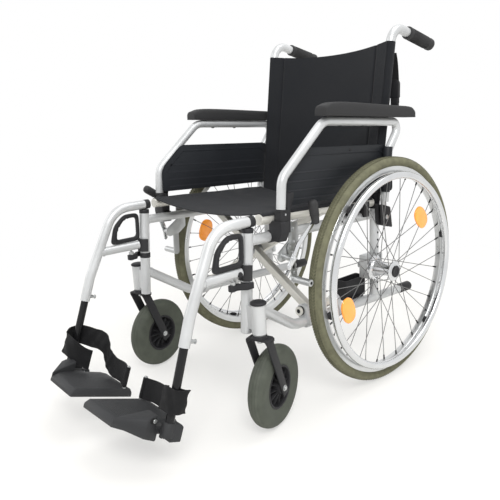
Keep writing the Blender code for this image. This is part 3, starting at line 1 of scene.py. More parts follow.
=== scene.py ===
"""The looks of the folding wheelchair, laid out as an add-on with one operator for each group of pieces.

Metres, +Z up, the chair faces -Y and its left side is at +X. Points are given in the chair's own axes,
(x, y, z) with y from the rear axle and z from the floor, in the side frame's tilted axes, (x, u, v) with
u back and v up, or in the footplate's, (x, d, n) with d back along it and n up from its underside.
"""

import math

import bmesh
import bpy
from mathutils import Matrix, Vector


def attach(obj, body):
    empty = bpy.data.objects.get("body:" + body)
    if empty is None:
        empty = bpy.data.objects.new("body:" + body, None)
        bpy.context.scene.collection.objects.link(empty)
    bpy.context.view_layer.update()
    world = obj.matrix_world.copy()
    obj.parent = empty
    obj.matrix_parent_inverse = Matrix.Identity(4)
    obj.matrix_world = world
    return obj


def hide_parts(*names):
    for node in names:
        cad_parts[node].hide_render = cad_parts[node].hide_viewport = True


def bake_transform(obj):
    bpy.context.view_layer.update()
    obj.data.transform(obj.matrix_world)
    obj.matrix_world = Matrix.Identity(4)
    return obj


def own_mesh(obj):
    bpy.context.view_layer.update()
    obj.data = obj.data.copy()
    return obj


bl_info = {
    "name": "Folding wheelchair",
    "version": (1, 0, 0),
    "blender": (4, 5, 0),
    "location": "3D View > Sidebar > Wheelchair",
    "description": "Builds the visual model of a folding wheelchair on its frame",
    "category": "Object",
}

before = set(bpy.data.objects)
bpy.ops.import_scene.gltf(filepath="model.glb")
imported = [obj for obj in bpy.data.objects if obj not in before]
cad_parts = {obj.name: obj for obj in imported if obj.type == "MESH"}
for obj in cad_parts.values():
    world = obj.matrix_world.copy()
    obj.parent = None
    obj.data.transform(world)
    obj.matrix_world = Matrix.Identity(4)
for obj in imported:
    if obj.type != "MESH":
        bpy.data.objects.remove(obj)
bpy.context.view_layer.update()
FULL_TURN = 2 * math.pi

AXLE_HEIGHT = 0.304
AXLE_Y = 0.238
SEAT_TILT = math.radians(2.4)
SIDES = {"left": 1, "right": -1}
UP = Vector((0, 0, 1))
X_AXIS = Vector((1, 0, 0))

# Finish of the pieces
BEVEL_SEGMENTS = 2
BEVEL_ANGLE = math.radians(40)
CLOUDS = (0.3, 0.7)
WORN_EDGE = (0.52, 0.6)

# Side frame: lines of (u, v) points, the post, cane and grip of (y, z) points
SIDE_X = 0.2165
UPRIGHT = ((-0.4522, -0.0752), (-0.4441, 0.1553))
UPRIGHT_RADIUS = 0.0133
UPPER_RAIL = ((-0.4448, 0.135), (0.0219, 0.1445))
UPPER_RAIL_RADIUS = 0.0121
LOWER_RAIL = ((-0.4498, -0.0075), (-0.296, -0.0978), (0.151, -0.0978))
LOWER_RAIL_RADIUS = 0.0129
LOWER_RAIL_BEND = 0.06
POST_RADIUS = 0.0125
POST = ((-0.0005, 0.199), (0.028, 0.2005), (0.028, 0.46))
CANE_X = 0.2222
CANE_CORNER = (0.0972, 0.9434)
CANE_BEND = 0.042
GRIP = ((0.1659, 0.9275), (0.285, 0.9))
HINGE_TOP_Z = 0.4868
CASTER_X = 0.2563
CASTER_Y = -0.4505
HOUSING = (0.0165, 0.2528, 0.323)  # radius, lower and upper end
CATCH_Z = 0.359
CLAMP_HALF = 0.008
SEAT_CUP_U = (-0.0945, -0.035)
PIVOT_BLOCK_U = (-0.25, -0.13)
PIVOT_TUBE_U = (-0.268, -0.12)

# Cross brace and cloth: pivots as (x, v)
LOWER_PIVOT = (0.205, -0.0725)
SEAT_RAIL = (0.217, 0.1784)
SEAT_RAIL_RADIUS = 0.0125
SEAT_RAIL_U = (-0.4117, 0.0035)
BRACE_U = (-0.2283, -0.1983)
BRACE_CENTRE_V = 0.0494
BAR_HALF = 0.01075
CLOTH_THICKNESS = 0.0026
SLING_SAG = 0.016
BACK_Z = (0.462, 0.9)
BACK_SAG = 0.02

# Wheels: profiles of (radius, distance from the middle) points, the hub's of (radius, x)
WHEEL_X = 0.2802
RIM_INNER = 0.261
TYRE_HALF = [
    (0.3031, 0.0), (0.3031, 0.0034), (0.3026, 0.0038), (0.3026, 0.0044), (0.303, 0.005), (0.3022, 0.008),
    (0.301, 0.0108), (0.3001, 0.0113), (0.2994, 0.0128), (0.2972, 0.0152), (0.2935, 0.0168), (0.2895, 0.0171),
    (0.285, 0.0158), (0.2815, 0.0135), (0.2797, 0.0122), (0.2792, 0.009),
]
RIM_HALF = [
    (0.2794, 0.0), (0.2796, 0.01), (0.2801, 0.0114), (0.2792, 0.0124), (0.277, 0.012), (0.274, 0.0117),
    (0.269, 0.0118), (0.265, 0.0112), (0.2622, 0.0098), (0.2612, 0.008), (0.2606, 0.004),
]
HUB_PROFILE = [
    (0.0075, 0.2372), (0.02, 0.237), (0.032, 0.2374), (0.034, 0.2384), (0.034, 0.2406), (0.0325, 0.2413),
    (0.0262, 0.242), (0.0228, 0.245), (0.0205, 0.252), (0.0165, 0.276), (0.015, 0.288), (0.016, 0.296),
    (0.0235, 0.299), (0.0262, 0.2996), (0.027, 0.3004), (0.027, 0.3032), (0.0258, 0.3041), (0.0215, 0.3046),
    (0.02, 0.3054), (0.02, 0.3062), (0.0192, 0.3068), (0.0166, 0.3068), (0.0163, 0.3062), (0.0163, 0.3028),
    (0.0075, 0.3028),
]
SPOKE_LEAN = math.radians(50)
SPOKE_LAYER = 0.0013
HANDRIM = (0.3076, 0.257, 0.0095)  # x, radius of the ring, radius of its bar
REFLECTORS = {"left": (-46.0, 154.0), "right": (40.0, 160.0)}  # degrees from the wheel's turn
REFLECTOR_RADIUS = 0.19
WHEEL_TURN = {"left": math.radians(96.0), "right": math.radians(-108.6)}
TAB_PHASE = math.radians(17.5)
CASTER_TRAIL = 0.0554
CASTER_RADIUS = 0.1
CASTER_TYRE_HALF = [
    (0.0997, 0.0), (0.0997, 0.003), (0.0988, 0.0036), (0.0988, 0.0046), (0.0994, 0.0052), (0.098, 0.0098),
    (0.0972, 0.0102), (0.0966, 0.0122), (0.0944, 0.0154), (0.0912, 0.0183), (0.086, 0.0203), (0.079, 0.0208),
    (0.071, 0.0203), (0.064, 0.0194), (0.059, 0.0184), (0.056, 0.0172), (0.0535, 0.0166), (0.0522, 0.015),
]
CASTER_RIM_HALF = [
    (0.0521, 0.0), (0.0521, 0.015), (0.0528, 0.0168), (0.0505, 0.0176), (0.0478, 0.0166), (0.0462, 0.012),
    (0.044, 0.004), (0.03, 0.0022), (0.0175, 0.003), (0.0155, 0.015), (0.014, 0.0215), (0.0125, 0.0225),
    (0.0052, 0.0225),
]
FORK_REACH = (0.024, 0.0285)  # inner and outer face of a leg
FORK_TOP = (0.232, 0.2445, 0.2522)  # heights of the crown's lower edge, its shoulder and the collar
CASTER_ANGLE = {"left": math.radians(-17.1), "right": math.radians(-10.4)}

# Leg rest: the hanger of (x, y, z) points, footplate and strap of (x, d, n) points
HANGER = ((0.2168, -0.529, 0.5), (0.224, -0.6113, 0.33), (0.2258, -0.6323, 0.271))
HANGER_BENDS = (0.07, 0.06)
HANGER_RADIUS = 0.01225
CROSS_TUBE_Z = 0.3915
EXTENSION_RADIUS = 0.0095
EXTENSION_LENGTH = 0.186
PLATE_FRONT = (-0.78, 0.1226)
PLATE_SLOPE = math.atan2(0.3703, 0.9289)
PLATE_THICKNESS = 0.02
HINGE_X = 0.2
BARREL_N = 0.01
BARREL_RADIUS = 0.0085
WEDGE_PLAN = ((0.152, 0.0045), (0.2085, 0.05), (0.2085, 0.0805), (0.172, 0.0805))
WEDGE_RINGS = (  # size, share of the height, largest d
    (0.94, 0.0, 0.081), (1.0, 0.07, 0.081), (1.0, 0.42, 0.081),
    (1.0, 0.56, 0.0722), (1.0, 0.9, 0.0722), (0.91, 1.0, 0.0722),
)
BLOCK_PLATES = (  # nearest and farthest d, top n, inner and outer x
    (0.0835, 0.1, 0.034, 0.211, 0.2185),
    (0.088, 0.116, 0.03, 0.218, 0.2215),
    (0.0905, 0.12, 0.036, 0.221, 0.24),
)
STRAP_ROD = (0.04, 0.14)
STRAP_WIDTH = 0.05
STRAP_THICKNESS = 0.0026
STRAP_START = ((0.0447, 0.14, 0.022), (0.075, 0.15, 0.0235))
STRAP_LOOP = {
    "left": (
        (0.115, 0.145, 0.027), (0.145, 0.13, 0.035), (0.17, 0.108, 0.044), (0.189, 0.086, 0.0525),
        (0.206, 0.073, 0.057), (0.224, 0.069, 0.0585), (0.24, 0.076, 0.059), (0.249, 0.092, 0.059),
        (0.247, 0.106, 0.059), (0.235, 0.109, 0.058), (0.221, 0.104, 0.056), (0.208, 0.103, 0.053),
        (0.196, 0.108, 0.049),
    ),
    "right": (
        (0.112, 0.151, 0.0235), (0.132, 0.149, 0.026), (0.148, 0.147, 0.034), (0.158, 0.145, 0.051),
        (0.171, 0.141, 0.066), (0.191, 0.135, 0.073), (0.215, 0.127, 0.075), (0.238, 0.112, 0.074),
        (0.249, 0.09, 0.07), (0.244, 0.068, 0.063), (0.226, 0.056, 0.054), (0.203, 0.062, 0.044),
        (0.182, 0.082, 0.034), (0.166, 0.106, 0.027),
    ),
}

# Armrest: (y, z) points
ARM_X = 0.2485
ARM_RADIUS = 0.011
ARM_PATH = (
    (-0.3625, 0.5208), (-0.357, 0.588), (-0.215, 0.7077), (0.0995, 0.6926), (0.0435, 0.616), (0.0305, 0.484),
)
ARM_BENDS = (0.04, 0.05, 0.02, 0.03)
ARM_PIVOT = (0.04, 0.44)
PAD_TOP = ((-0.23, 0.7385), (-0.22, 0.745), (-0.168, 0.75), (0.06, 0.736), (0.118, 0.731), (0.136, 0.7205))
PAD_X = 0.2545
PAD_HALF = 0.02

# Wheel lock: (y, z) points
BRAKE_PIVOT = (-0.344, 0.405)
SHOE_PIVOT = (-0.325, 0.425)
SHOE_ROD = (-0.3125, 0.3435)
BRAKE_THROW = {"left": 0.0, "right": math.radians(46)}
SHOE_RATIO = 0.24
LEVER_X = (0.264, 0.2672)
SHOE_X = (0.2346, 0.238)

# Stage: each lamp's name, place, share of the key light's power and size
LAMPS = (
    ("key", (2.1, -1.6, 2.7), 1.05, 1.3),
    ("fill", (-2.6, -1.8, 1.8), 0.3, 2.2),
    ("top", (0.6, 0.5, 3.0), 0.45, 1.8),
)
LAMP_AIM = (0, 0, 0.45)
CAMERA_PLACE = (1.137, -1.2286, 0.7366)
CAMERA_TURN = (47.72, 13.34, -2.53)  # azimuth, elevation and roll in degrees

finishes = {}


def chair(x, y, z):
    """A point given from the rear axle's line along y and from the floor in z."""
    return Vector((x, y + AXLE_Y, z))


def tilted(x, u, v):
    """A point given in the side frame's tilted axes."""
    cos, sin = math.cos(SEAT_TILT), math.sin(SEAT_TILT)
    return chair(x, u * cos + v * sin, AXLE_HEIGHT + v * cos - u * sin)


def direction(start, end):
    """The unit vector from one point to another."""
    return (Vector(end) - Vector(start)).normalized()


def mirrored_to(side, place):
    """A way of placing points, with x turned to the side's own half."""
    return lambda x, a, b: place(side * x, a, b)


def lengthwise(side):
    """A way of placing (x, v) outlines that are pushed along u, in the side frame's tilted axes."""
    return lambda x, v, u: tilted(side * x, u, v)


def wheel_way(turn):
    """The unit vectors out from a rear wheel's axle and forward along its rim, at a turn from the top."""
    cos, sin = math.cos(turn), math.sin(turn)
    return Vector((0, sin, cos)), Vector((0, cos, -sin))


def length_of(line):
    """The length of a line of points."""
    return sum((b - a).length for a, b in zip(line, line[1:]))


BACK = direction(tilted(0, 0, 0), tilted(0, 1, 0))
PLATE_BACK = Vector((0, math.cos(PLATE_SLOPE), -math.sin(PLATE_SLOPE)))
PLATE_UP = Vector((0, math.sin(PLATE_SLOPE), math.cos(PLATE_SLOPE)))


def on_plate(x, d, n):
    """A point given in the footplate's own axes: d back along it and n up from its underside."""
    return chair(x, *PLATE_FRONT) + PLATE_BACK * d + PLATE_UP * n


def settings():
    """The sizes and colours that the panel shows."""
    return bpy.context.scene.wheelchair_sizes


def rounded(points, radii, step=math.radians(7)):
    """The points of a line whose inner corners are rounded by arcs."""
    points = [Vector(p) for p in points]
    path = [points[0]]
    for before, corner, after, radius in zip(points, points[1:], points[2:], radii):
        back, ahead = direction(corner, before), direction(corner, after)
        turn = math.pi - back.angle(ahead)
        reach = radius * math.tan(turn / 2)
        centre = corner + (back + ahead).normalized() * (radius / math.cos(turn / 2))
        spoke = corner + back * reach - centre
        axis = spoke.cross(corner + ahead * reach - centre)
        steps = max(2, math.ceil(turn / step))
        path += [centre + Matrix.Rotation(turn * k / steps, 3, axis) @ spoke for k in range(steps + 1)]
    path.append(points[-1])
    return path


def square_to(line):
    """A unit vector square to a line."""
    guide = UP if abs(line.x) > 0.9 else X_AXIS
    return (guide - line * guide.dot(line)).normalized()


def ring_of(centre, line, across, radius, sides):
    """A circle of points round a line."""
    other = line.cross(across)
    turns = (FULL_TURN * k / sides for k in range(sides))
    return [centre + across * (radius * math.cos(t)) + other * (radius * math.sin(t)) for t in turns]


def loft(mesh, rings, joined=False, capped=True):
    """A skin through rings of equally many points."""
    rows = [[mesh.verts.new(point) for point in ring] for ring in rings]
    pairs = list(zip(rows, rows[1:]))
    if joined:
        pairs.append((rows[-1], rows[0]))
    elif capped:
        mesh.faces.new(rows[0])
        mesh.faces.new(rows[-1])
    for one, two in pairs:
        for i, corner in enumerate(one):
            j = (i + 1) % len(one)
            mesh.faces.new((corner, one[j], two[j], two[i]))


def sweep(mesh, path, outline):
    """An outline of (a, b) points carried along a path, a across it and b square to both. Radii may vary."""
    path = [Vector(p) for p in path]
    lines = [direction(a, b) for a, b in zip(path, path[1:])]
    tangents = [lines[0], *[(a + b).normalized() for a, b in zip(lines, lines[1:])], lines[-1]]
    across = square_to(tangents[0])
    rings = []
    for i, (point, tangent) in enumerate(zip(path, tangents)):
        if i:
            across = tangents[i - 1].rotation_difference(tangent) @ across
        other = tangent.cross(across)
        points = outline(i / (len(path) - 1)) if callable(outline) else outline
        rings.append([point + across * a + other * b for a, b in points])
    loft(mesh, rings)


def circle(radius, sides):
    """The corners of a circle as (a, b) points."""
    turns = [FULL_TURN * k / sides for k in range(sides)]
    return [(radius * math.cos(t), radius * math.sin(t)) for t in turns]


def squarish(power, sides):
    """The corners of a circle of radius 1 that is drawn out towards a square."""
    return [tuple(math.copysign(abs(c) ** power, c) for c in corner) for corner in circle(1, sides)]


def open_ring(centre, outer, inner, turns):
    """The outline of an open ring: along the turns at its outer radius and back at its inner one."""
    arcs = [(outer, t) for t in turns] + [(inner, t) for t in reversed(turns)]
    return [(centre[0] + r * math.cos(t), centre[1] + r * math.sin(t)) for r, t in arcs]


def tube(mesh, path, radius, sides=None):
    """A round bar along a path of points."""
    sweep(mesh, path, circle(radius, sides or settings().tube_sides))


def turned(mesh, profile, centre, axis, steps=96, phase=0.0):
    """A closed loop of (radius, height) points turned round an axis, as a ring."""
    across = square_to(axis)
    rings = []
    for k in range(steps):
        turn = phase + FULL_TURN * k / steps
        out = across * math.cos(turn) + axis.cross(across) * math.sin(turn)
        rings.append([centre + out * r + axis * h for r, h in profile])
    loft(mesh, rings, joined=True)


def spindle(mesh, profile, centre, axis, steps=32):
    """An open line of (radius, height) points turned round an axis, with flat end faces."""
    across = square_to(axis)
    loft(mesh, [ring_of(centre + axis * h, axis, across, r, steps) for r, h in profile])


def pin(mesh, radius, start, end, centre, axis, steps):
    """A plain round bar between two heights on an axis."""
    spindle(mesh, [(radius, start), (radius, end)], centre, axis, steps)


def weld(mesh, centre, axis, radius, high, wide):
    """A weld bead round a tube."""
    turned(mesh, [(radius + high * a, wide * b) for a, b in circle(1, 8)], centre, axis, 40)


def mirrored(half):
    """A half profile of (radius, height) points and its mirror image, as one closed loop."""
    return half + [(radius, -height) for radius, height in half[:0:-1]]


def prism(mesh, outline, place, near, far):
    """An outline pushed from one depth to another. place turns (a, b, depth) into a point."""
    loft(mesh, [[place(a, b, depth) for a, b in outline] for depth in (near, far)])


def plate(mesh, outline, side, x_range):
    """A flat plate with a (y, z) outline in chair axes, between two distances from the middle."""
    prism(mesh, outline, lambda y, z, x: chair(side * x, y, z), *x_range)


def block(mesh, low, high, place):
    """A box between two corners in the axes of place."""
    outline = [(low[0], low[1]), (high[0], low[1]), (high[0], high[1]), (low[0], high[1])]
    prism(mesh, outline, place, low[2], high[2])


def capsule(start, end, half, end_half=None, steps=10):
    """The outline of a flat bar with round ends, wider at one end if end_half says so."""
    start, end = Vector(start), Vector(end)
    line = (end - start).normalized()
    angle = math.atan2(line.y, line.x)
    outline = []
    for centre, quarter, radius in ((end, -math.pi / 2, end_half or half), (start, math.pi / 2, half)):
        for k in range(steps + 1):
            turn = angle + quarter + math.pi * k / steps
            outline.append((centre.x + radius * math.cos(turn), centre.y + radius * math.sin(turn)))
    return outline


def round_corners(outline, radius, steps=4):
    """A closed outline of (a, b) points with its corners rounded."""
    count = len(outline)
    result = []
    for i, corner in enumerate(outline):
        corner = Vector(corner)
        before, after = Vector(outline[i - 1]), Vector(outline[(i + 1) % count])
        back, ahead = (before - corner), (after - corner)
        reach = min(radius, back.length * 0.45, ahead.length * 0.45)
        one, two = corner + back.normalized() * reach, corner + ahead.normalized() * reach
        for k in range(steps + 1):
            t = k / steps
            result.append(tuple(one * (1 - t) ** 2 + corner * (2 * t * (1 - t)) + two * t * t))
    return result


def turn_about(points, centre, angle):
    """(y, z) points turned about a centre, y towards z."""
    cos, sin = math.cos(angle), math.sin(angle)
    arms = [(y - centre[0], z - centre[1]) for y, z in points]
    return [(centre[0] + y * cos - z * sin, centre[1] + y * sin + z * cos) for y, z in arms]


def strip(points, half):
    """The outline of a flat bar along (a, b) points. half is one half width, or one for each point."""
    points = [Vector(p) for p in points]
    halves = half if isinstance(half, (list, tuple)) else [half] * len(points)
    lines = [(b - a).normalized() for a, b in zip(points, points[1:])]
    left, right = [], []
    for i, point in enumerate(points):
        before, after = lines[max(i - 1, 0)], lines[min(i, len(lines) - 1)]
        mean = (before + after).normalized()
        normal = Vector((-mean.y, mean.x)) * (halves[i] / mean.dot(before))
        left.append(tuple(point + normal))
        right.append(tuple(point - normal))
    return left + right[::-1]


def smooth_line(points, steps=6):
    """A line through points, rounded between them."""
    line = []
    for i in range(len(points) - 1):
        p0, p1, p2, p3 = points[max(i - 1, 0)], points[i], points[i + 1], points[min(i + 2, len(points) - 1)]
        for k in range(steps):
            t = k / steps
            bend = (2 * p0 - 5 * p1 + 4 * p2 - p3) * t * t + (3 * p1 - p0 - 3 * p2 + p3) * t ** 3
            line.append(0.5 * (2 * p1 + (p2 - p0) * t + bend))
    line.append(points[-1])
    return line


def fill(tree, node, inputs):
    """Gives a node's inputs their values or links."""
    for key, value in inputs.items():
        if isinstance(value, bpy.types.NodeSocket):
            tree.links.new(value, node.inputs[key])
        else:
            node.inputs[key].default_value = value


def add_node(tree, kind, inputs=None, **values):
    """A node with its settings made and its inputs given values or linked."""
    node = tree.nodes.new(kind)
    for key, value in values.items():
        setattr(node, key, value)
    fill(tree, node, inputs or {})
    return node


def math_node(tree, operation, one, two=0.0):
    """The output of a math node."""
    return add_node(tree, "ShaderNodeMath", {0: one, 1: two}, operation=operation).outputs[0]


def spread(tree, value, low, high, least, most):
    """A value from low to high mapped onto least to most."""
    return add_node(tree, "ShaderNodeMapRange", {0: value, 1: low, 2: high, 3: least, 4: most}).outputs[0]


def scaled(tree, colour, factor):
    """A colour times a factor."""
    return add_node(tree, "ShaderNodeVectorMath", {0: colour, "Scale": factor}, operation="SCALE").outputs[0]


def length_node(tree, vector):
    """The length of a vector in a node tree."""
    return add_node(tree, "ShaderNodeVectorMath", {0: vector}, operation="LENGTH").outputs["Value"]


def noise(tree, place, scale, detail):
    """A cloudy value."""
    inputs = {"Vector": place, "Scale": scale, "Detail": detail}
    return add_node(tree, "ShaderNodeTexNoise", inputs).outputs["Fac"]


def new_material(name):
    """A node material, its tree and its shader."""
    material = bpy.data.materials.new(name)
    material.use_nodes = True
    return material, material.node_tree, material.node_tree.nodes["Principled BSDF"]


def weave(tree, place, pitch, diagonal):
    """A woven height: two crossing waves, along x and along the cloth's other way."""
    split = add_node(tree, "ShaderNodeSeparateXYZ", {0: place})
    warp = split.outputs["X"]
    weft = math_node(tree, "ADD", split.outputs["Y"], split.outputs["Z"])
    if diagonal:
        warp, weft = math_node(tree, "ADD", warp, weft), math_node(tree, "SUBTRACT", warp, weft)
    turns = FULL_TURN / pitch
    waves = [math_node(tree, "SINE", math_node(tree, "MULTIPLY", way, turns)) for way in (warp, weft)]
    return math_node(tree, "MULTIPLY", *waves)


def finish_of(name, colour, roughness, metallic=0.0, grain=(900, 0.08), blotch=(9, 0.12), wear=None,
              stretch=None,
              cloth=None, spots=None, **extra):
    """A procedural finish. grain is the fine bump's scale and strength, blotch the colour variation's scale
    and amount, wear the colour and amount on edges, stretch the grain's direction, cloth the weave's pitch,
    depth and whether it runs diagonally, spots the scale and strength of a leathery bump."""
    material, tree, shader = new_material(name)
    place = add_node(tree, "ShaderNodeTexCoord").outputs["Object"]
    cloudy = noise(tree, place, blotch[0], 5.0)
    tint = scaled(tree, (*colour,), spread(tree, cloudy, *CLOUDS, 1 - blotch[1], 1 + blotch[1]))
    fine = place
    if stretch:
        fine = add_node(tree, "ShaderNodeMapping", {"Vector": place, "Scale": stretch}).outputs[0]
    height = math_node(tree, "MULTIPLY", noise(tree, fine, grain[0], 3.0), grain[1])
    if cloth:
        pitch, depth, diagonal = cloth
        woven = weave(tree, place, pitch, diagonal)
        height = math_node(tree, "ADD", height, math_node(tree, "MULTIPLY", woven, depth))
        tint = scaled(tree, tint, spread(tree, woven, -1.0, 1.0, 0.72, 1.28))
    if spots:
        cells = add_node(tree, "ShaderNodeTexVoronoi", {"Vector": place, "Scale": spots[0]},
                         feature="SMOOTH_F1")
        height = math_node(tree, "ADD", height, math_node(tree, "MULTIPLY", cells.outputs[0], spots[1]))
    if wear:
        edge = add_node(tree, "ShaderNodeNewGeometry").outputs["Pointiness"]
        worn = math_node(tree, "MULTIPLY", spread(tree, edge, *WORN_EDGE, 0.0, wear[1]), cloudy)
        mixed = add_node(tree, "ShaderNodeMix", {0: worn, 6: tint, 7: (*wear[0], 1)}, data_type="RGBA")
        tint = mixed.outputs[2]
    rough = spread(tree, cloudy, *CLOUDS, roughness * 0.85, roughness * 1.15)
    bump = add_node(tree, "ShaderNodeBump", {"Height": height, "Strength": 1.0, "Distance": 0.001}).outputs[0]
    fill(tree, shader, {"Base Color": tint, "Roughness": rough, "Normal": bump, "Metallic": metallic})
    fill(tree, shader, {key.replace("_", " "): value for key, value in extra.items()})
    finishes[name] = material


def make_finishes():
    """Every finish of the chair."""
    look = settings()
    paint, cloth = look.paint_colour, look.cloth_colour
    finish_of("silver_paint", paint, 0.36, 0.35, grain=(1500, 0.05), wear=((0.4, 0.4, 0.4), 0.3),
              Coat_Weight=0.2, Coat_Roughness=0.25)
    finish_of("warm_paint", (0.66, 0.64, 0.585), 0.34, 0.35, grain=(900, 0.05), wear=((0.7, 0.7, 0.66), 0.8))
    finish_of("aluminium", (0.66, 0.67, 0.67), 0.3, 0.9, grain=(400, 0.05), blotch=(14, 0.08),
              stretch=(6, 1, 1))
    finish_of("bright_steel", (0.7, 0.71, 0.72), 0.2, 1.0, grain=(700, 0.02), blotch=(12, 0.06))
    finish_of("spoke_steel", (0.2, 0.2, 0.2), 0.42, 0.8, grain=(1200, 0.03), blotch=(40, 0.2))
    finish_of("zinc_steel", (0.5, 0.51, 0.51), 0.34, 0.85, grain=(900, 0.06), blotch=(30, 0.15),
              wear=((0.2, 0.2, 0.2), 0.3))
    dull = {"Specular_IOR_Level": 0.22}
    finish_of("black_plastic", (0.02, 0.02, 0.022), 0.52, grain=(1800, 0.1), wear=((0.06, 0.06, 0.06), 0.4),
              **dull)
    finish_of("plate_plastic", (0.028, 0.029, 0.031), 0.54, grain=(1500, 0.22), spots=(900, 0.2),
              wear=((0.09, 0.09, 0.09), 0.5), **dull)
    finish_of("black_enamel", (0.008, 0.008, 0.009), 0.12, grain=(1200, 0.01), wear=((0.03, 0.03, 0.03), 0.3),
              Specular_IOR_Level=0.24)
    finish_of("grip_rubber", (0.034, 0.034, 0.035), 0.62, grain=(1400, 0.18), blotch=(20, 0.2), **dull)
    finish_of("grey_tyre", look.tyre_colour, 0.7, grain=(1100, 0.2), blotch=(60, 0.22),
              wear=((0.3, 0.3, 0.22), 0.4), **dull)
    finish_of("tyre_tread", [0.82 * c for c in look.tyre_colour], 0.74, grain=(1100, 0.2), blotch=(50, 0.2),
              **dull)
    finish_of("caster_tyre", (0.076, 0.084, 0.068), 0.66, grain=(1000, 0.22), blotch=(40, 0.16),
              wear=((0.2, 0.2, 0.17), 0.4), **dull)
    finish_of("black_fabric", cloth, 0.85, grain=(700, 0.12), blotch=(5, 0.16),
              cloth=(look.weave_pitch, 0.16, False), Sheen_Weight=0.06, **dull)
    finish_of("webbing", (0.01, 0.01, 0.011), 0.8, grain=(900, 0.2), cloth=(0.0022, 0.4, True),
              Sheen_Weight=0.05, **dull)
    finish_of("panel_plastic", (0.016, 0.018, 0.021), 0.46, grain=(1500, 0.16), blotch=(6, 0.12),
              wear=((0.06, 0.06, 0.07), 0.4), **dull)
    finish_of("pad_foam", (0.028, 0.028, 0.029), 0.62, grain=(900, 0.12), spots=(700, 0.35),
              blotch=(12, 0.12), **dull)
    # The reflector finish's orange emission is a painted glow: plates and clips shine though they are no
    # lamps.
    finish_of("reflector", (0.9, 0.33, 0.035), 0.22, grain=(300, 0.02), spots=(330, 0.6), blotch=(40, 0.08),
              Coat_Weight=0.8, Emission_Color=(0.95, 0.3, 0.03, 1), Emission_Strength=0.32)
    # Near-black finish for flat discs and strips put on holes, bores and slots: painted shade for the shade
    # inside them.
    finish_of("painted_hole_shade", (0.004, 0.004, 0.004), 0.9)


def new_object(name, data):
    """An object in the scene's own collection."""
    made = bpy.data.objects.new(name, data)
    bpy.context.scene.collection.objects.link(made)
    return made


def finished(name, mesh, finish, body, node=None, angle=35, bevel=0.0, arrays=()):
    """A finished piece that rides on a body and stands for a CAD node. angle is the one past which an edge is
    sharp, and arrays are the repeats."""
    bmesh.ops.recalc_face_normals(mesh, faces=mesh.faces)
    data = bpy.data.meshes.new(name)
    mesh.to_mesh(data)
    mesh.free()
    data.materials.append(finishes[finish])
    draft = new_object(name, data)
    if bevel:
        modifier = draft.modifiers.new("bevel", "BEVEL")
        modifier.width = bevel
        modifier.segments = BEVEL_SEGMENTS
        modifier.limit_method = "ANGLE"
        modifier.angle_limit = BEVEL_ANGLE
    for group, values in arrays:
        modifier = draft.modifiers.new("array", "NODES")
        modifier.node_group = group
        for item in group.interface.items_tree:
            if item.in_out == "INPUT" and item.name in values:
                modifier[item.identifier] = values[item.name]
    bpy.context.view_layer.update()
    evaluated = draft.evaluated_get(bpy.context.evaluated_depsgraph_get())
    draft.data = bpy.data.meshes.new_from_object(evaluated)
    draft.modifiers.clear()
    bpy.data.meshes.remove(data)
    draft.data.name = name
    draft.data.shade_smooth()
    draft.data.set_sharp_from_angle(angle=math.radians(angle))
    if body:
        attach(draft, body)
    if node:
        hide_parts(node)
    return draft


def array_group(name, round_way):
    """A node group that repeats its input: round a line if round_way, or else along an offset."""
    tree = bpy.data.node_groups.new(name, "GeometryNodeTree")
    kinds = {"Geometry": "Geometry", "Count": "Int", "Centre": "Vector", "Step": "Vector",
             "Finish": "Material"}
    for socket, kind in kinds.items():
        tree.interface.new_socket(socket, in_out="INPUT", socket_type=f"NodeSocket{kind}")
    tree.interface.new_socket("Geometry", in_out="OUTPUT", socket_type="NodeSocketGeometry")
    given = tree.nodes.new("NodeGroupInput").outputs
    offset = (0, 0, 0) if round_way else given["Step"]
    line = add_node(tree, "GeometryNodeMeshLine", {"Count": given["Count"], "Offset": offset}).outputs[0]
    copies = {"Points": line, "Instance": given["Geometry"]}
    result = add_node(tree, "GeometryNodeInstanceOnPoints", copies).outputs[0]
    if round_way:
        index = add_node(tree, "GeometryNodeInputIndex").outputs[0]
        turn = math_node(tree, "MULTIPLY", length_node(tree, given["Step"]), index)
        inputs = {"Axis": given["Step"], "Angle": turn}
        turn = add_node(tree, "FunctionNodeAxisAngleToRotation", inputs).outputs[0]
        inputs = {"Instances": result, "Rotation": turn, "Pivot Point": given["Centre"], "Local Space": False}
        result = add_node(tree, "GeometryNodeRotateInstances", inputs).outputs[0]
    solid = add_node(tree, "GeometryNodeRealizeInstances", {0: result}).outputs[0]
    painted = add_node(tree, "GeometryNodeSetMaterial", {"Geometry": solid, "Material": given["Finish"]})
    tree.links.new(painted.outputs[0], tree.nodes.new("NodeGroupOutput").inputs[0])
    return tree


def around(count, centre, finish, axis=X_AXIS):
    """The array values that repeat a shape round a line through centre."""
    group = bpy.data.node_groups.get("repeat_round") or array_group("repeat_round", True)
    step = Vector(axis) * (FULL_TURN / count)
    return group, {"Count": count, "Centre": tuple(centre), "Step": tuple(step), "Finish": finishes[finish]}


def along(count, step, finish):
    """The array values that repeat a shape along a line."""
    group = bpy.data.node_groups.get("repeat_along") or array_group("repeat_along", False)
    return group, {"Count": count, "Step": tuple(step), "Finish": finishes[finish]}


def bolt(mesh, centre, axis, radius=0.0065, height=0.004, sides=6, washer=True):
    """A bolt head with its washer, standing on a face."""
    axis = Vector(axis)
    if washer:
        pin(mesh, radius * 1.35, -0.0004, 0.0008, centre, axis, 24)
    profile = [(radius, 0.0005), (radius, height * 0.8), (radius * 0.85, height)]
    spindle(mesh, profile, centre, axis, sides)


def upright_at(side, z):
    """The point of the upright's centre line at a height above the floor."""
    low, top = (tilted(side * SIDE_X, *end) for end in UPRIGHT)
    return low.lerp(top, (z - low.z) / (top.z - low.z))


UPRIGHT_UP = direction(upright_at(1, 0.3), upright_at(1, 0.4))


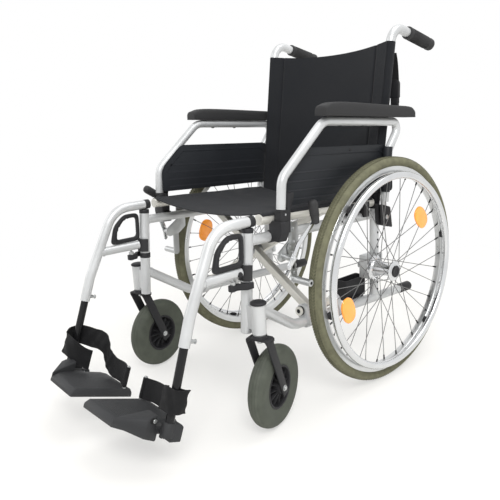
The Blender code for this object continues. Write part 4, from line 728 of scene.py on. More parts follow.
def cane_at(side, z):
    """The point of the leaning handle tube at a height above the floor."""
    knee, corner = chair(side * SIDE_X, *POST[2]), chair(side * CANE_X, *CANE_CORNER)
    return knee.lerp(corner, (z - knee.z) / (corner.z - knee.z))


def side_frame(name, side):
    """One side frame's tubes and their black plugs."""
    body = f"{name}_frame"
    on_frame = lambda u, v: tilted(side * SIDE_X, u, v)
    low, top = (on_frame(*end) for end in UPRIGHT)
    mesh = bmesh.new()
    tube(mesh, [low, top], UPRIGHT_RADIUS)
    tube(mesh, [on_frame(*end) for end in UPPER_RAIL], UPPER_RAIL_RADIUS)
    tube(mesh, rounded([on_frame(*p) for p in LOWER_RAIL], [LOWER_RAIL_BEND]), LOWER_RAIL_RADIUS)
    foot, knee = (chair(side * SIDE_X, *p) for p in POST[1:])
    corner, end = (chair(side * CANE_X, *p) for p in (CANE_CORNER, GRIP[1]))
    end -= direction(corner, end) * 0.0063
    tube(mesh, [foot, *rounded([knee, corner, end], [CANE_BEND])], POST_RADIUS)
    axis_foot = chair(side * CASTER_X, CASTER_Y, 0)
    radius, z_low, z_high = HOUSING
    profile = [(radius - 0.002, z_low), (radius, z_low + 0.0012), (radius, z_high - 0.0012),
               (radius - 0.002, z_high)]
    spindle(mesh, profile, axis_foot, UP, 40)
    web = ((SIDE_X, CASTER_Y - 0.009, z_low + 0.008), (CASTER_X, CASTER_Y + 0.009, z_high - 0.008))
    block(mesh, *web, mirrored_to(side, chair))
    for centre, axis, radius in weld_seams(side):
        weld(mesh, centre, axis, radius, 0.0013, 0.0018)
    finished(f"{name}_frame_tubes", mesh, "silver_paint", body, f"{name}_side_frame")
    mesh = bmesh.new()
    spindle(mesh, [(0.0118, -0.001), (0.0124, -0.0004), (0.0124, 0.001)], low, UPRIGHT_UP)
    rise = (HINGE_TOP_Z - top.z) / UPRIGHT_UP.z
    spindle(mesh, [(0.0124, -0.002), (0.0136, -0.001), (0.0136, rise - 0.0016), (0.0126, rise)], top,
            UPRIGHT_UP)
    plug = [(0.0132, -0.0006), (0.014, 0), (0.014, 0.052), (0.011, 0.0575)]
    spindle(mesh, plug, on_frame(*LOWER_RAIL[2]), BACK)
    lid = [(0.0186, 0), (0.0187, 0.004), (0.015, 0.0062), (0.005, 0.0069)]
    spindle(mesh, lid, axis_foot + UP * z_high, UP, 40)
    catch = [(0.014, -0.007), (0.0146, -0.006), (0.0146, 0.006), (0.014, 0.007)]
    spindle(mesh, catch, upright_at(side, CATCH_Z), UPRIGHT_UP)
    finished(f"{name}_frame_plugs", mesh, "black_plastic", body, bevel=0.0004)
    frame_clamps(name, side, body)


def weld_seams(side):
    """(centre, axis, radius) of the weld beads where the tubes meet."""
    x = side * SIDE_X
    rail = direction(tilted(x, *LOWER_RAIL[0]), tilted(x, *LOWER_RAIL[1]))
    return [
        (tilted(x, UPPER_RAIL[0][0] + UPRIGHT_RADIUS, 0.1353), BACK, UPPER_RAIL_RADIUS),
        (tilted(x, UPPER_RAIL[1][0] - POST_RADIUS, 0.1443), BACK, UPPER_RAIL_RADIUS),
        (tilted(x, *LOWER_RAIL[0]) + rail * 0.0155, rail, LOWER_RAIL_RADIUS + 0.0004),
        (chair(x, POST[1][0], 0.2185), UP, POST_RADIUS),
    ]


def frame_clamps(name, side, body):
    """The brace clamps on the lower rail, the cradles for the seat rail, and the holes in the post as
    near-black discs of painted shade.
    """
    rail, pivot = Vector((SIDE_X, LOWER_RAIL[1][1])), Vector(LOWER_PIVOT)
    mesh, screws = bmesh.new(), bmesh.new()
    for u in PIVOT_BLOCK_U:
        outline = capsule(rail, pivot, LOWER_RAIL_RADIUS + 0.0045, 0.016)
        prism(mesh, outline, lengthwise(side), u - CLAMP_HALF, u + CLAMP_HALF)
        for share in (-0.5, 0.9):
            x, v = rail.lerp(pivot, share)
            bolt(screws, tilted(side * x, u - CLAMP_HALF, v), -BACK, 0.0024, 0.0015, 6, False)
    finished(f"{name}_brace_clamps", mesh, "silver_paint", body, bevel=0.0012)
    mesh = bmesh.new()
    inner, outer = SEAT_RAIL_RADIUS + 0.0006, SEAT_RAIL_RADIUS + 0.0044
    x, v = SEAT_RAIL
    low, lip = 0.1435 - v, 0.006
    arc = [(inner * math.cos(t), -inner * math.sin(t)) for t in (math.pi * k / 12 for k in range(13))]
    cup = [(outer, low), (outer, lip), (inner, lip), *arc, (-inner, lip), (-outer, lip), (-outer, low)]
    for u in SEAT_CUP_U:
        prism(mesh, [(x + a, v + b) for a, b in cup], lengthwise(side), u - 0.011, u + 0.011)
    finished(f"{name}_seat_cradles", mesh, "black_plastic", body, bevel=0.0008)
    mesh = bmesh.new()
    # Near-black discs on the post's side: painted shade for the shade inside its holes.
    first = chair(side * (SIDE_X + POST_RADIUS - 0.0002), POST[1][0], 0.232)
    pin(mesh, 0.0032, 0, 0.0004, first, X_AXIS * side, 16)
    row = along(9, UP * 0.0205, "painted_hole_shade")
    finished(f"{name}_post_holes", mesh, "painted_hole_shade", body, arrays=[row])
    finished(f"{name}_clamp_screws", screws, "zinc_steel", body)


def axle_bracket(name, side):
    """The clamp on the rear post, its bolts, the axle and its push button."""
    body = f"{name}_frame"
    line = X_AXIS * side
    hub = chair(0, 0, AXLE_HEIGHT)
    mesh = bmesh.new()
    inner, outer, front, y_low, y_high, wall = 0.2037, 0.2293, 0.0152, -0.018, 0.044, 0.0035
    outline = [(inner - wall, y_low), (outer + wall, y_low), (outer + wall, y_high), (outer, y_high),
               (outer, front), (inner, front), (inner, y_high), (inner - wall, y_high)]
    prism(mesh, outline, mirrored_to(side, chair), 0.272, 0.336)
    spindle(mesh, [(0.0105, 0.1925), (0.0115, 0.1935), (0.0115, 0.235), (0.0105, 0.2362)], hub, line, 40)
    finished(f"{name}_axle_clamp", mesh, "silver_paint", body, f"{name}_axle_bracket", bevel=0.001)
    mesh = bmesh.new()
    for z in (0.28, 0.328):
        bolt(mesh, chair(side * (outer + wall), 0.033, z), line, 0.0048, 0.003)
        bolt(mesh, chair(side * (inner - wall), 0.033, z), -line, 0.0048, 0.003)
    profile = [(0.0045, 0.1862), (0.008, 0.1862), (0.0092, 0.1872), (0.0092, 0.1917), (0.0062, 0.1917),
               (0.0062, 0.3028), (0.0045, 0.3028)]
    spindle(mesh, profile, hub, line, 32)
    finished(f"{name}_axle_pin", mesh, "zinc_steel", body, f"{name}_axle")
    mesh = bmesh.new()
    profile = [(0.0152, 0.3068), (0.0156, 0.3074), (0.0156, 0.309), (0.014, 0.3098), (0.008, 0.3094),
               (0.007, 0.3086)]
    spindle(mesh, profile, hub, line, 48)
    finished(f"{name}_axle_push_button", mesh, "black_plastic", f"{name}_button", f"{name}_axle_button")


def rear_wheel(name, side):
    """Tyre, rim, nipples, spokes, hub, reflectors and push ring."""
    body = f"{name}_wheel"
    line = X_AXIS * side
    hub = chair(0, 0, AXLE_HEIGHT)
    middle = hub + line * WHEEL_X
    steps = settings().wheel_steps
    mesh = bmesh.new()
    turned(mesh, mirrored(TYRE_HALF), middle, line, steps)
    finished(f"{name}_tyre", mesh, "grey_tyre", body, f"{name}_rear_tyre", angle=60)
    mesh = bmesh.new()
    for x, lean in ((-0.007, 0.0022), (0.0, -0.0022), (0.007, 0.0022)):
        rise = TYRE_HALF[0][0] - 0.0006 * (x / 0.007) ** 2
        lug = [(x - 0.0026, -0.0022 - lean), (x + 0.0026, -0.0022 + lean), (x + 0.0026, 0.0022 + lean),
               (x - 0.0026, 0.0022 - lean)]
        prism(mesh, lug, lambda a, b, depth: middle + line * a + Vector((0, b, depth)), rise - 0.0012,
              rise + 0.0006)
    row = around(settings().tread_lugs, hub, "tyre_tread")
    finished(f"{name}_tread", mesh, "tyre_tread", body, arrays=[row])
    mesh = bmesh.new()
    turned(mesh, mirrored(RIM_HALF), middle, line, steps)
    finished(f"{name}_rim", mesh, "aluminium", body, f"{name}_rear_rim", angle=40)
    spoke_set(name, hub, line, body)
    mesh = bmesh.new()
    turned(mesh, HUB_PROFILE, hub, line, 72)
    finished(f"{name}_hub", mesh, "bright_steel", body, f"{name}_spoked_hub", angle=40)
    reflector_plates(name, hub, line, body)
    x, ring_radius, bar = HANDRIM
    mesh = bmesh.new()
    turned(mesh, [(ring_radius + a, x + b) for a, b in circle(bar, 24)], hub, line, steps)
    finished(f"{name}_push_ring", mesh, "bright_steel", body, f"{name}_handrim")
    mesh = bmesh.new()
    out, way = wheel_way(TAB_PHASE)
    place = lambda a, b, depth: hub + way * a + out * b + line * depth
    outline = [(-0.0085, 0.252), (0.0085, 0.252), (0.0085, 0.2655), (-0.0085, 0.2655)]
    prism(mesh, round_corners(outline, 0.003), place, 0.29, 0.3)
    pin(mesh, 0.0045, 0.289, 0.3005, place(0, 0.2588, 0), line, 16)
    row = around(6, hub, "black_plastic")
    finished(f"{name}_ring_tabs", mesh, "black_plastic", body, bevel=0.0008, arrays=[row])


def spoke_set(name, hub, line, body):
    """Crossed spokes with their black nipples: four of them, repeated round the hub."""
    count = settings().spoke_count
    spokes, nipples = bmesh.new(), bmesh.new()
    for k in range(4):
        outer, leading = k % 2, (1 if k // 2 else -1)
        layer = SPOKE_LAYER * leading
        rim_turn = WHEEL_TURN[name] + FULL_TURN * (k + 0.5) / count
        hub_end = (0.0245 if outer else 0.0315, (0.3018 if outer else 0.2395) + layer,
                   rim_turn + SPOKE_LEAN * leading)
        rim_end = (RIM_INNER + 0.001, WHEEL_X + (0.003 if outer else -0.003) + layer, rim_turn)
        ends = [hub + line * x + wheel_way(turn)[0] * radius for radius, x, turn in (hub_end, rim_end)]
        tube(spokes, ends, settings().spoke_radius, 8)
        pin(spokes, 0.0018, -0.0012, 0.0012, ends[0] - line * (0.0022 * leading), line, 8)
        nipple = [(0.0016, -0.013), (0.0021, -0.012), (0.0021, -0.0015), (0.0032, -0.0008), (0.0032, 0)]
        spindle(nipples, nipple, ends[1], direction(*ends), 12)
    turns = [around(count // 4, hub, finish) for finish in ("spoke_steel", "black_plastic")]
    finished(f"{name}_spokes", spokes, "spoke_steel", body, arrays=turns[:1])
    finished(f"{name}_nipples", nipples, "black_plastic", body, arrays=turns[1:])


def reflector_plates(name, hub, line, body):
    """The orange plates on the outer spokes and their clips, in a finish whose orange emission is a painted
    glow.
    """
    mesh, clips = bmesh.new(), bmesh.new()
    for degrees in REFLECTORS[name]:
        out, way = wheel_way(WHEEL_TURN[name] + math.radians(degrees))
        spot = hub + out * REFLECTOR_RADIUS
        place = lambda a, b, x: spot + way * a + out * b + line * x
        rings = []
        for share, x in ((0.97, 0.2872), (1.0, 0.288), (1.0, 0.2916), (0.955, 0.2932), (0.88, 0.2936)):
            rings.append([place(a * 0.035 * share, b * 0.024 * share, x) for a, b in squarish(0.82, 40)])
        loft(mesh, rings)
        for shift in (-0.018, 0.018):
            block(clips, (shift - 0.0035, -0.013, 0.2856), (shift + 0.0035, 0.013, 0.2874), place)
    finished(f"{name}_reflectors", mesh, "reflector", body, angle=50)
    finished(f"{name}_reflector_clips", clips, "reflector", body, bevel=0.0006)


def caster(name, side):
    """Fork, rim, tyre and bolts of one caster."""
    angle, body = CASTER_ANGLE[name], f"{name}_caster"
    foot = chair(side * CASTER_X, CASTER_Y, 0)
    back = Vector((math.sin(angle), math.cos(angle), 0))
    out = Vector((math.cos(angle), -math.sin(angle), 0)) * side
    place = lambda q, h, p: foot + back * q + UP * h + out * p
    low, shoulder, top = FORK_TOP
    outer = FORK_REACH[1]
    centre = place(CASTER_TRAIL, CASTER_RADIUS, 0)
    mesh = bmesh.new()
    fork_shape(mesh, place)
    collar = [(0.0188, shoulder - 0.001), (0.0184, shoulder + 0.0016), (0.0172, shoulder + 0.0036),
              (0.0168, top - 0.001)]
    spindle(mesh, collar, foot, UP, 40)
    finished(f"{name}_fork", mesh, "black_plastic", body, f"{name}_caster_fork", bevel=0.001)
    mesh = bmesh.new()
    for way in (out, -out):
        bolt(mesh, centre + way * outer, way, 0.0056, 0.004, 12)
        pin(mesh, 0.003, 0, 0.0046, centre + way * outer, way, 6)
    spindle(mesh, [(0.015, top - 0.0012), (0.0158, top - 0.0008), (0.0158, top - 0.0002)], foot, UP, 40)
    pin(mesh, 0.0044, -0.0236, 0.0236, centre, out, 16)
    nut = [(0.0085, shoulder - 0.005), (0.0085, shoulder - 0.0068), (0.0062, shoulder - 0.007),
           (0.0062, low - 0.0008), (0.0035, low - 0.002)]
    spindle(mesh, nut, foot, UP, 12)
    finished(f"{name}_fork_bolts", mesh, "zinc_steel", body, bevel=0.0003)
    wheel = f"{name}_caster_wheel"
    mesh = bmesh.new()
    turned(mesh, mirrored(CASTER_TYRE_HALF), centre, out, 96)
    finished(f"{name}_caster_rubber", mesh, "caster_tyre", wheel, f"{name}_caster_tyre", angle=60)
    mesh = bmesh.new()
    turned(mesh, mirrored(CASTER_RIM_HALF), centre, out, 72)
    finished(f"{name}_caster_hub", mesh, "black_plastic", wheel, f"{name}_caster_rim", angle=40)
    mesh = bmesh.new()
    blade = [(0.014, 0.018), (0.047, 0.0105), (0.047, -0.0105), (0.014, -0.018)]
    prism(mesh, blade, lambda r, h, w: centre + UP * r + back * w + out * h, -0.0009, 0.0009)
    row = around(settings().caster_spokes, centre, "black_plastic", out)
    finished(f"{name}_caster_blades", mesh, "black_plastic", wheel, bevel=0.0004, arrays=[row])


def fork_shape(mesh, place):
    """The two slanting legs of a caster's fork and the crown that joins them."""
    inner, outer = FORK_REACH
    low, shoulder, _ = FORK_TOP
    front, rear = -0.015, 0.0172
    axle, neck = Vector((CASTER_TRAIL, CASTER_RADIUS)), Vector((0, low))
    way = (axle - neck).normalized()
    wide = Vector((-way.y, way.x))
    end = axle + way * 0.0205
    leg = [(front, shoulder - 0.002), (front, low + 0.003), neck - wide * 0.0122, axle - wide * 0.0118,
           end - wide * 0.0112, end + wide * 0.0112, axle + wide * 0.0118, neck + wide * 0.0128 + way * 0.004,
           (rear, low + 0.003), (rear, shoulder - 0.002)]
    leg = round_corners([tuple(p) for p in leg], 0.003, 3)
    for near, far in ((inner, outer), (-outer, -inner)):
        prism(mesh, leg, place, near, far)
    half = [(-outer, low + 0.002), (-inner - 0.001, low), (-inner + 0.004, shoulder - 0.0052)]
    crown = half + [(-p, h) for p, h in reversed(half)]
    crown += [(outer, shoulder - 0.005), (outer - 0.005, shoulder), (-outer + 0.005, shoulder),
              (-outer, shoulder - 0.005)]
    spans = ((front, 0.92), (front + 0.0012, 1.0), (rear - 0.0012, 1.0), (rear, 0.92))
    loft(mesh, [[place(q, shoulder + (h - shoulder) * share, p) for p, h in crown] for q, share in spans])


def leg_rest(name, side):
    """Hanger tubes, loop grip, release lever, extension, footplate and heel strap."""
    body, lever_body = f"{name}_leg_rest", f"{name}_leg_rest_release"
    knee, elbow, end = (chair(side * x, y, z) for x, y, z in HANGER)
    hinge_z = HANGER[0][2]
    tail = upright_at(side, hinge_z) + Vector((0, 0.0135, 0))
    mesh = bmesh.new()
    tube(mesh, rounded([tail, knee, elbow, end], HANGER_BENDS), HANGER_RADIUS)
    start = knee.lerp(elbow, (hinge_z - CROSS_TUBE_Z) / (hinge_z - HANGER[1][2]))
    upright = upright_at(side, CROSS_TUBE_Z)
    tube(mesh, [start, upright - Vector((0, 0.0208, 0))], 0.0115)
    way = direction(start, upright)
    weld(mesh, start + way * 0.0135, way, 0.012, 0.0012, 0.0016)
    finished(f"{name}_hanger_tubes", mesh, "silver_paint", body, f"{name}_hanger")
    loop_grip(name, side, body)
    hanger_ends(name, side, body, tail, upright, end, direction(elbow, end))
    outline = [(0.2115, -0.4985), (0.2245, -0.4985), (0.2245, -0.478), (0.2385, -0.463), (0.2385, -0.443),
               (0.2325, -0.443), (0.2325, -0.46), (0.2115, -0.474)]
    mesh = bmesh.new()
    prism(mesh, round_corners(outline, 0.004, 3), mirrored_to(side, chair), 0.3535, 0.368)
    finished(f"{name}_release_handle", mesh, "black_plastic", lever_body, f"{name}_release_lever",
             bevel=0.0016)
    mesh = bmesh.new()
    foot = chair(side * 0.218, -0.488, 0)
    spindle(mesh, [(0.006, 0.3678), (0.0066, 0.37), (0.0066, 0.3755), (0.003, 0.377), (0.003, 0.3797)], foot,
            UP, 24)
    spindle(mesh, [(0.003, 0.3515), (0.005, 0.352), (0.005, 0.3538)], foot, UP, 6)
    finished(f"{name}_release_bolt", mesh, "zinc_steel", lever_body)
    extension(name, side, end, direction(elbow, end))


def loop_grip(name, side, body):
    """The black loop with its finger grooves, and the saddle that holds it to the upright."""
    outer = [(-0.5455, 0.4035), (-0.4585, 0.4035), (-0.456, 0.44), (-0.4553, 0.48), (-0.499, 0.4808),
             (-0.5315, 0.453)]
    inner = [(-0.528, 0.4155), (-0.466, 0.4155), (-0.465, 0.44), (-0.464, 0.469), (-0.4965, 0.469),
             (-0.52, 0.447)]
    mesh = bmesh.new()
    rings = []
    for (a, b), (c, d) in zip(round_corners(outer, 0.014, 5), round_corners(inner, 0.01, 5)):
        groove = 0.0016 * math.cos((b + a) * 560) if a < -0.49 and b > 0.42 else 0.0
        c, d = c + groove * 0.6, d - groove * 0.6
        ring = []
        for s, h in squarish(0.7, 12):
            ring.append(chair(side * (0.2195 + 0.006 * h), (a + c) / 2 + (a - c) / 2 * s,
                              (b + d) / 2 + (b - d) / 2 * s))
        rings.append(ring)
    loft(mesh, rings, joined=True)
    front = UPRIGHT_UP.cross(X_AXIS)
    outline = open_ring((0, 0), 0.0196, 0.0139, [math.radians(11 * k - 178) for k in range(17)])
    prism(mesh, outline, lambda a, b, z: upright_at(side, z) + X_AXIS * a + front * b, 0.371, 0.4058)
    finished(f"{name}_loop_grip", mesh, "black_plastic", body, f"{name}_hanger_grip", angle=45)


def hanger_ends(name, side, body, tail, upright, end, way):
    """The end plug of the hanger's top tube, the button beside the grip and the lower end's clamp screw."""
    mesh = bmesh.new()
    spindle(mesh, [(0.0129, -0.014), (0.0129, 0.0006), (0.011, 0.0016)], tail, Vector((0, 1, 0)), 40)
    button = upright - Vector((side * -0.0115, 0.03, 0.002))
    spindle(mesh, [(0.0062, -0.003), (0.0068, 0.0), (0.0055, 0.0032)], button, X_AXIS * side, 24)
    finished(f"{name}_hanger_plugs", mesh, "black_plastic", body, bevel=0.0004)
    mesh = bmesh.new()
    spot = end - way * 0.013
    rear = (Vector((0, 1, 0)) - way * way.y).normalized()
    spindle(mesh, [(0.005, 0.011), (0.005, 0.019), (0.0035, 0.02)], spot, rear, 6)
    head = [(0.0026, 0.019), (0.0026, 0.0235), (0.0055, 0.0236), (0.0055, 0.0262), (0.004, 0.027)]
    spindle(mesh, head, spot, rear, 20)
    finished(f"{name}_length_screw", mesh, "zinc_steel", body)


def extension(name, side, end, slide):
    """The black tube, its hinge block, the footplate and the heel strap."""
    body = f"{name}_extension"
    foot = end + slide * EXTENSION_LENGTH
    mesh = bmesh.new()
    tube(mesh, [end - slide * 0.03, foot], EXTENSION_RADIUS)
    finished(f"{name}_extension_bar", mesh, "black_enamel", body, f"{name}_extension_tube")
    mesh = bmesh.new()
    place = mirrored_to(side, on_plate)
    for near, far, top, inner, outer in BLOCK_PLATES:
        outline = [(near, -0.002), (far, -0.002), (far, top - 0.006), (far - 0.008, top), (near, top)]
        prism(mesh, round_corners(outline, 0.003), lambda d, n, x: place(x, d, n), inner, outer)
    spindle(mesh, [(0.0112, -0.031), (0.0122, -0.0295), (0.0122, 0.0), (0.0108, 0.0015)], foot, slide, 32)
    tube(mesh, [place(HINGE_X, d, BARREL_N) for d in (0.1065, 0.1265)], BARREL_RADIUS, 32)
    block(mesh, (HINGE_X, 0.107, 0.004), (0.213, 0.12, 0.016), place)
    finished(f"{name}_hinge_block", mesh, "plate_plastic", body, bevel=0.001)
    footplate(name, side, place)
    heel_strap(name, place)


def footplate(name, side, place):
    """The footplate with its chamfered edge, ribs, raised corner and hinge barrel, and the strap's rod."""
    body = f"{name}_footplate"
    thick = PLATE_THICKNESS
    outline = [(0.031, 0.002), (0.035, 0.0), (0.152, 0.004), (0.18, 0.028), (0.18, 0.149), (0.168, 0.161),
               (0.031, 0.161)]
    mesh = bmesh.new()
    rings = []
    for inset, n in ((0.0, 0.0), (0.0, thick * 0.35), (0.001, thick * 0.55), (0.0095, thick - 0.0004)):
        rings.append([place(x + inset * (0.35 if x < 0.05 else -1), d + inset * (1 if d < 0.05 else -0.5), n)
                      for x, d in outline])
    loft(mesh, rings)
    middle = sum((Vector(corner) for corner in WEDGE_PLAN), Vector((0, 0))) / len(WEDGE_PLAN)
    rings = []
    for shrink, share, last in WEDGE_RINGS:
        ring = []
        for corner in WEDGE_PLAN:
            x, d = middle + (Vector(corner) - middle) * shrink
            low, high = 0.005 - 0.22 * d, 0.019 + 0.32 * d
            ring.append(place(x, min(d, last), low + (high - low) * share))
        rings.append(ring)
    loft(mesh, rings)
    tube(mesh, [place(HINGE_X, d, BARREL_N) for d in (0.0535, 0.106)], BARREL_RADIUS, 32)
    block(mesh, (0.176, 0.054, 0.004), (HINGE_X, 0.1055, 0.016), place)
    finished(f"{name}_foot_board", mesh, "plate_plastic", body, f"{name}_footplate",
             bevel=0.0016)
    mesh = bmesh.new()
    rib = round_corners([(0.046, 0.0), (0.154, 0.0), (0.154, 0.0016), (0.046, 0.0016)], 0.001, 2)
    prism(mesh, [(x, d + 0.025) for x, d in rib], place, thick - 0.0008, thick - 0.0001)
    row = along(24, PLATE_BACK * 0.0052, "plate_plastic")
    finished(f"{name}_board_ribs", mesh, "plate_plastic", body, arrays=[row])
    mesh = bmesh.new()
    tube(mesh, [place(*STRAP_ROD, thick - 0.004), place(*STRAP_ROD, 0.0735)], 0.003, 16)
    cap = [(0.003, 0.0), (0.0042, 0.0006), (0.0042, 0.002), (0.003, 0.003)]
    spindle(mesh, cap, place(*STRAP_ROD, 0.072), PLATE_UP, 16)
    nut = [(0.005, 0.0), (0.005, 0.0022), (0.0036, 0.0032)]
    spindle(mesh, nut, place(*STRAP_ROD, thick - 0.0006), PLATE_UP, 16)
    bolt(mesh, place(0.2084, 0.0668, 0.032), X_AXIS * side, 0.0044, 0.003, 12, False)
    bolt(mesh, place(0.19, 0.1085, BARREL_N), PLATE_BACK, 0.0042, 0.0026)
    finished(f"{name}_strap_rod", mesh, "zinc_steel", body)
    mesh = bmesh.new()
    # A near-black disc on the bolt's recess: painted shade for the shade inside it.
    pin(mesh, 0.0064, 0.0, 0.0012, place(0.208, 0.0625, 0.032), X_AXIS * side, 24)
    finished(f"{name}_bolt_recess", mesh, "painted_hole_shade", body)


def heel_strap(name, place):
    """The strap, sleeved over its rod, that runs behind the heel and loops round the extension tube."""
    fine = smooth_line([Vector(p) for p in STRAP_START + STRAP_LOOP[name]])
    shares = [k / 10 for k in range(11)]
    section = [(1, share) for share in shares] + [(-1, share) for share in reversed(shares)]
    mesh = bmesh.new()
    rows = []
    for i, point in enumerate(fine):
        before, after = fine[max(i - 1, 0)], fine[min(i + 1, len(fine) - 1)]
        way = Vector((after.x - before.x, after.y - before.y, 0)).normalized()
        normal = Vector((-way.y, way.x, 0))
        loose = min(1.0, max(0.0, (i - 8) / 12))
        sway = 0.002 * math.sin(i * 0.33 + 1.0) * loose
        ring = []
        for face, share in section:
            bow = 0.0024 * math.sin(math.pi * share) * math.sin(i * 0.42 + 0.6)
            crumple = 0.0009 * math.sin(i * 0.9 + share * 6.0) + 0.001 * math.sin(i * 0.37 - share * 11.0)
            spot = point + normal * (STRAP_THICKNESS / 2 * face + (bow + crumple) * loose)
            ring.append(place(spot.x, spot.y, point.z + sway + STRAP_WIDTH * share))
        rows.append(ring)
    loft(mesh, rows)
    sleeve = [(0.0036, 0.024), (0.0054, 0.0232), (0.0058, 0.03), (0.0056, 0.06), (0.0058, 0.069),
              (0.0052, 0.0715),
              (0.0036, 0.071)]
    turned(mesh, sleeve, place(*STRAP_ROD, 0.0), PLATE_UP, 24)
    strap = finished(f"{name}_strap_band", mesh, "webbing", None, f"{name}_heel_strap",
                     angle=60)
    start, end = (tuple(place(x, 0.145, 0.05)) for x in (0.11, 0.195))
    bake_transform(strap)
    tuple(start)
    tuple(end)
    round(length_of(fine), 3)


def armrest(name, side):
    """Armrest tube, pad, side panel, sockets and latch."""
    body = f"{name}_armrest"
    mesh = bmesh.new()
    tube(mesh, rounded([chair(side * ARM_X, y, z) for y, z in ARM_PATH], ARM_BENDS), ARM_RADIUS)
    plate(mesh, capsule(ARM_PIVOT, (0.031, 0.4895), 0.0085), side, (0.24, 0.247))
    finished(f"{name}_arm_tube", mesh, "silver_paint", body, f"{name}_armrest_tube")
    arm_pad(name, side, body)
    side_panel(name, side, body)
    sockets(name, side)


def arm_pad(name, side, body):
    """The padded arm rest on the tube's top run, and the screws that hold it."""
    (front_y, front_z), (rear_y, rear_z) = ARM_PATH[2:4]
    run_z = lambda y: front_z + (y - front_y) * (rear_z - front_z) / (rear_y - front_y)
    half = [(1, 0.3), (0.99, 0.62), (0.93, 0.85), (0.8, 0.96), (0.45, 1.0)]
    section = [(-1, 0.0), *[(-a, b) for a, b in half], *reversed(half), (1, 0.0), (0.9, 0.0), (-0.9, 0.0)]
    mesh = bmesh.new()
    rings = []
    for y, z, _ in smooth_line([Vector((y, z, 0)) for y, z in PAD_TOP]):
        under = run_z(y) + ARM_RADIUS + 0.0006
        taper = 1 - 0.1 * max(0, (-y - 0.17) / 0.06) ** 2 - 0.08 * max(0, (y - 0.09) / 0.046) ** 2
        rings.append([chair(side * (PAD_X + PAD_HALF * taper * a), y, under + (z - under) * b) for a,
                      b in section])
    loft(mesh, rings)
    pad = finished(f"{name}_arm_pad", mesh, "pad_foam", body, f"{name}_armrest_pad", angle=70, bevel=0.0012)
    mesh = bmesh.new()
    for y in (-0.155, -0.07):
        bolt(mesh, chair(side * ARM_X, y, run_z(y) - ARM_RADIUS + 0.0006), -UP, 0.004, 0.0022, 12)
    finished(f"{name}_pad_screws", mesh, "black_plastic", body)


def side_panel(name, side, body):
    """The clothes guard: a thin moulded plate with a rolled edge, raised bands and clips."""
    outline = [(-0.359, 0.524), (-0.357, 0.58), (-0.345, 0.6), (-0.285, 0.651), (0.042, 0.6365),
               (0.08, 0.607),
               (0.084, 0.507)]
    outline = [Vector(p) for p in round_corners(outline, 0.012, 5)]
    mesh, ribs = bmesh.new(), bmesh.new()
    plate(mesh, outline, side, (0.2349, 0.2369))
    middle = sum(outline, Vector((0, 0))) / len(outline)
    edge = ((0.2347, 1.0), (0.2373, 1.0), (0.2376, 0.994), (0.2372, 0.98), (0.2347, 0.98))
    rim = [[chair(side * x, *(middle + (p - middle) * share)) for x, share in edge] for p in outline]
    loft(mesh, rim, joined=True)
    band = strip([(-0.344, 0.579), (-0.281, 0.634), (0.024, 0.6205), (0.056, 0.595)], 0.0022)
    rib = round_corners([(-0.334, 0.534), (0.061, 0.517), (0.061, 0.5206), (-0.334, 0.5376)], 0.0012, 2)
    for x_range in ((0.2366, 0.238), (0.2346, 0.2351)):
        plate(mesh, band, side, x_range)
        plate(ribs, rib, side, x_range)
    bend, foot = (Vector(point) for point in ARM_PATH[-2:])
    clip = [bend.lerp(foot, (bend.y - z) / (bend.y - foot.y)) for z in (0.63, 0.51)]
    tube(mesh, [chair(side * ARM_X, *point) for point in clip], ARM_RADIUS + 0.0014)
    finished(f"{name}_guard_panel", mesh, "panel_plastic", body, f"{name}_side_panel", bevel=0.0004)
    row = along(4, (0, 0.0004, 0.0205), "panel_plastic")
    finished(f"{name}_panel_ribs", ribs, "panel_plastic", body, arrays=[row])
    mesh = bmesh.new()
    for y, z in ((-0.262, 0.64), (-0.1, 0.633), (-0.344, 0.562)):
        spindle(mesh, [(0.0048, 0.2368), (0.0044, 0.238), (0.002, 0.2386)], chair(0, y, z), X_AXIS * side, 20)
    finished(f"{name}_panel_rivets", mesh, "black_plastic", body)


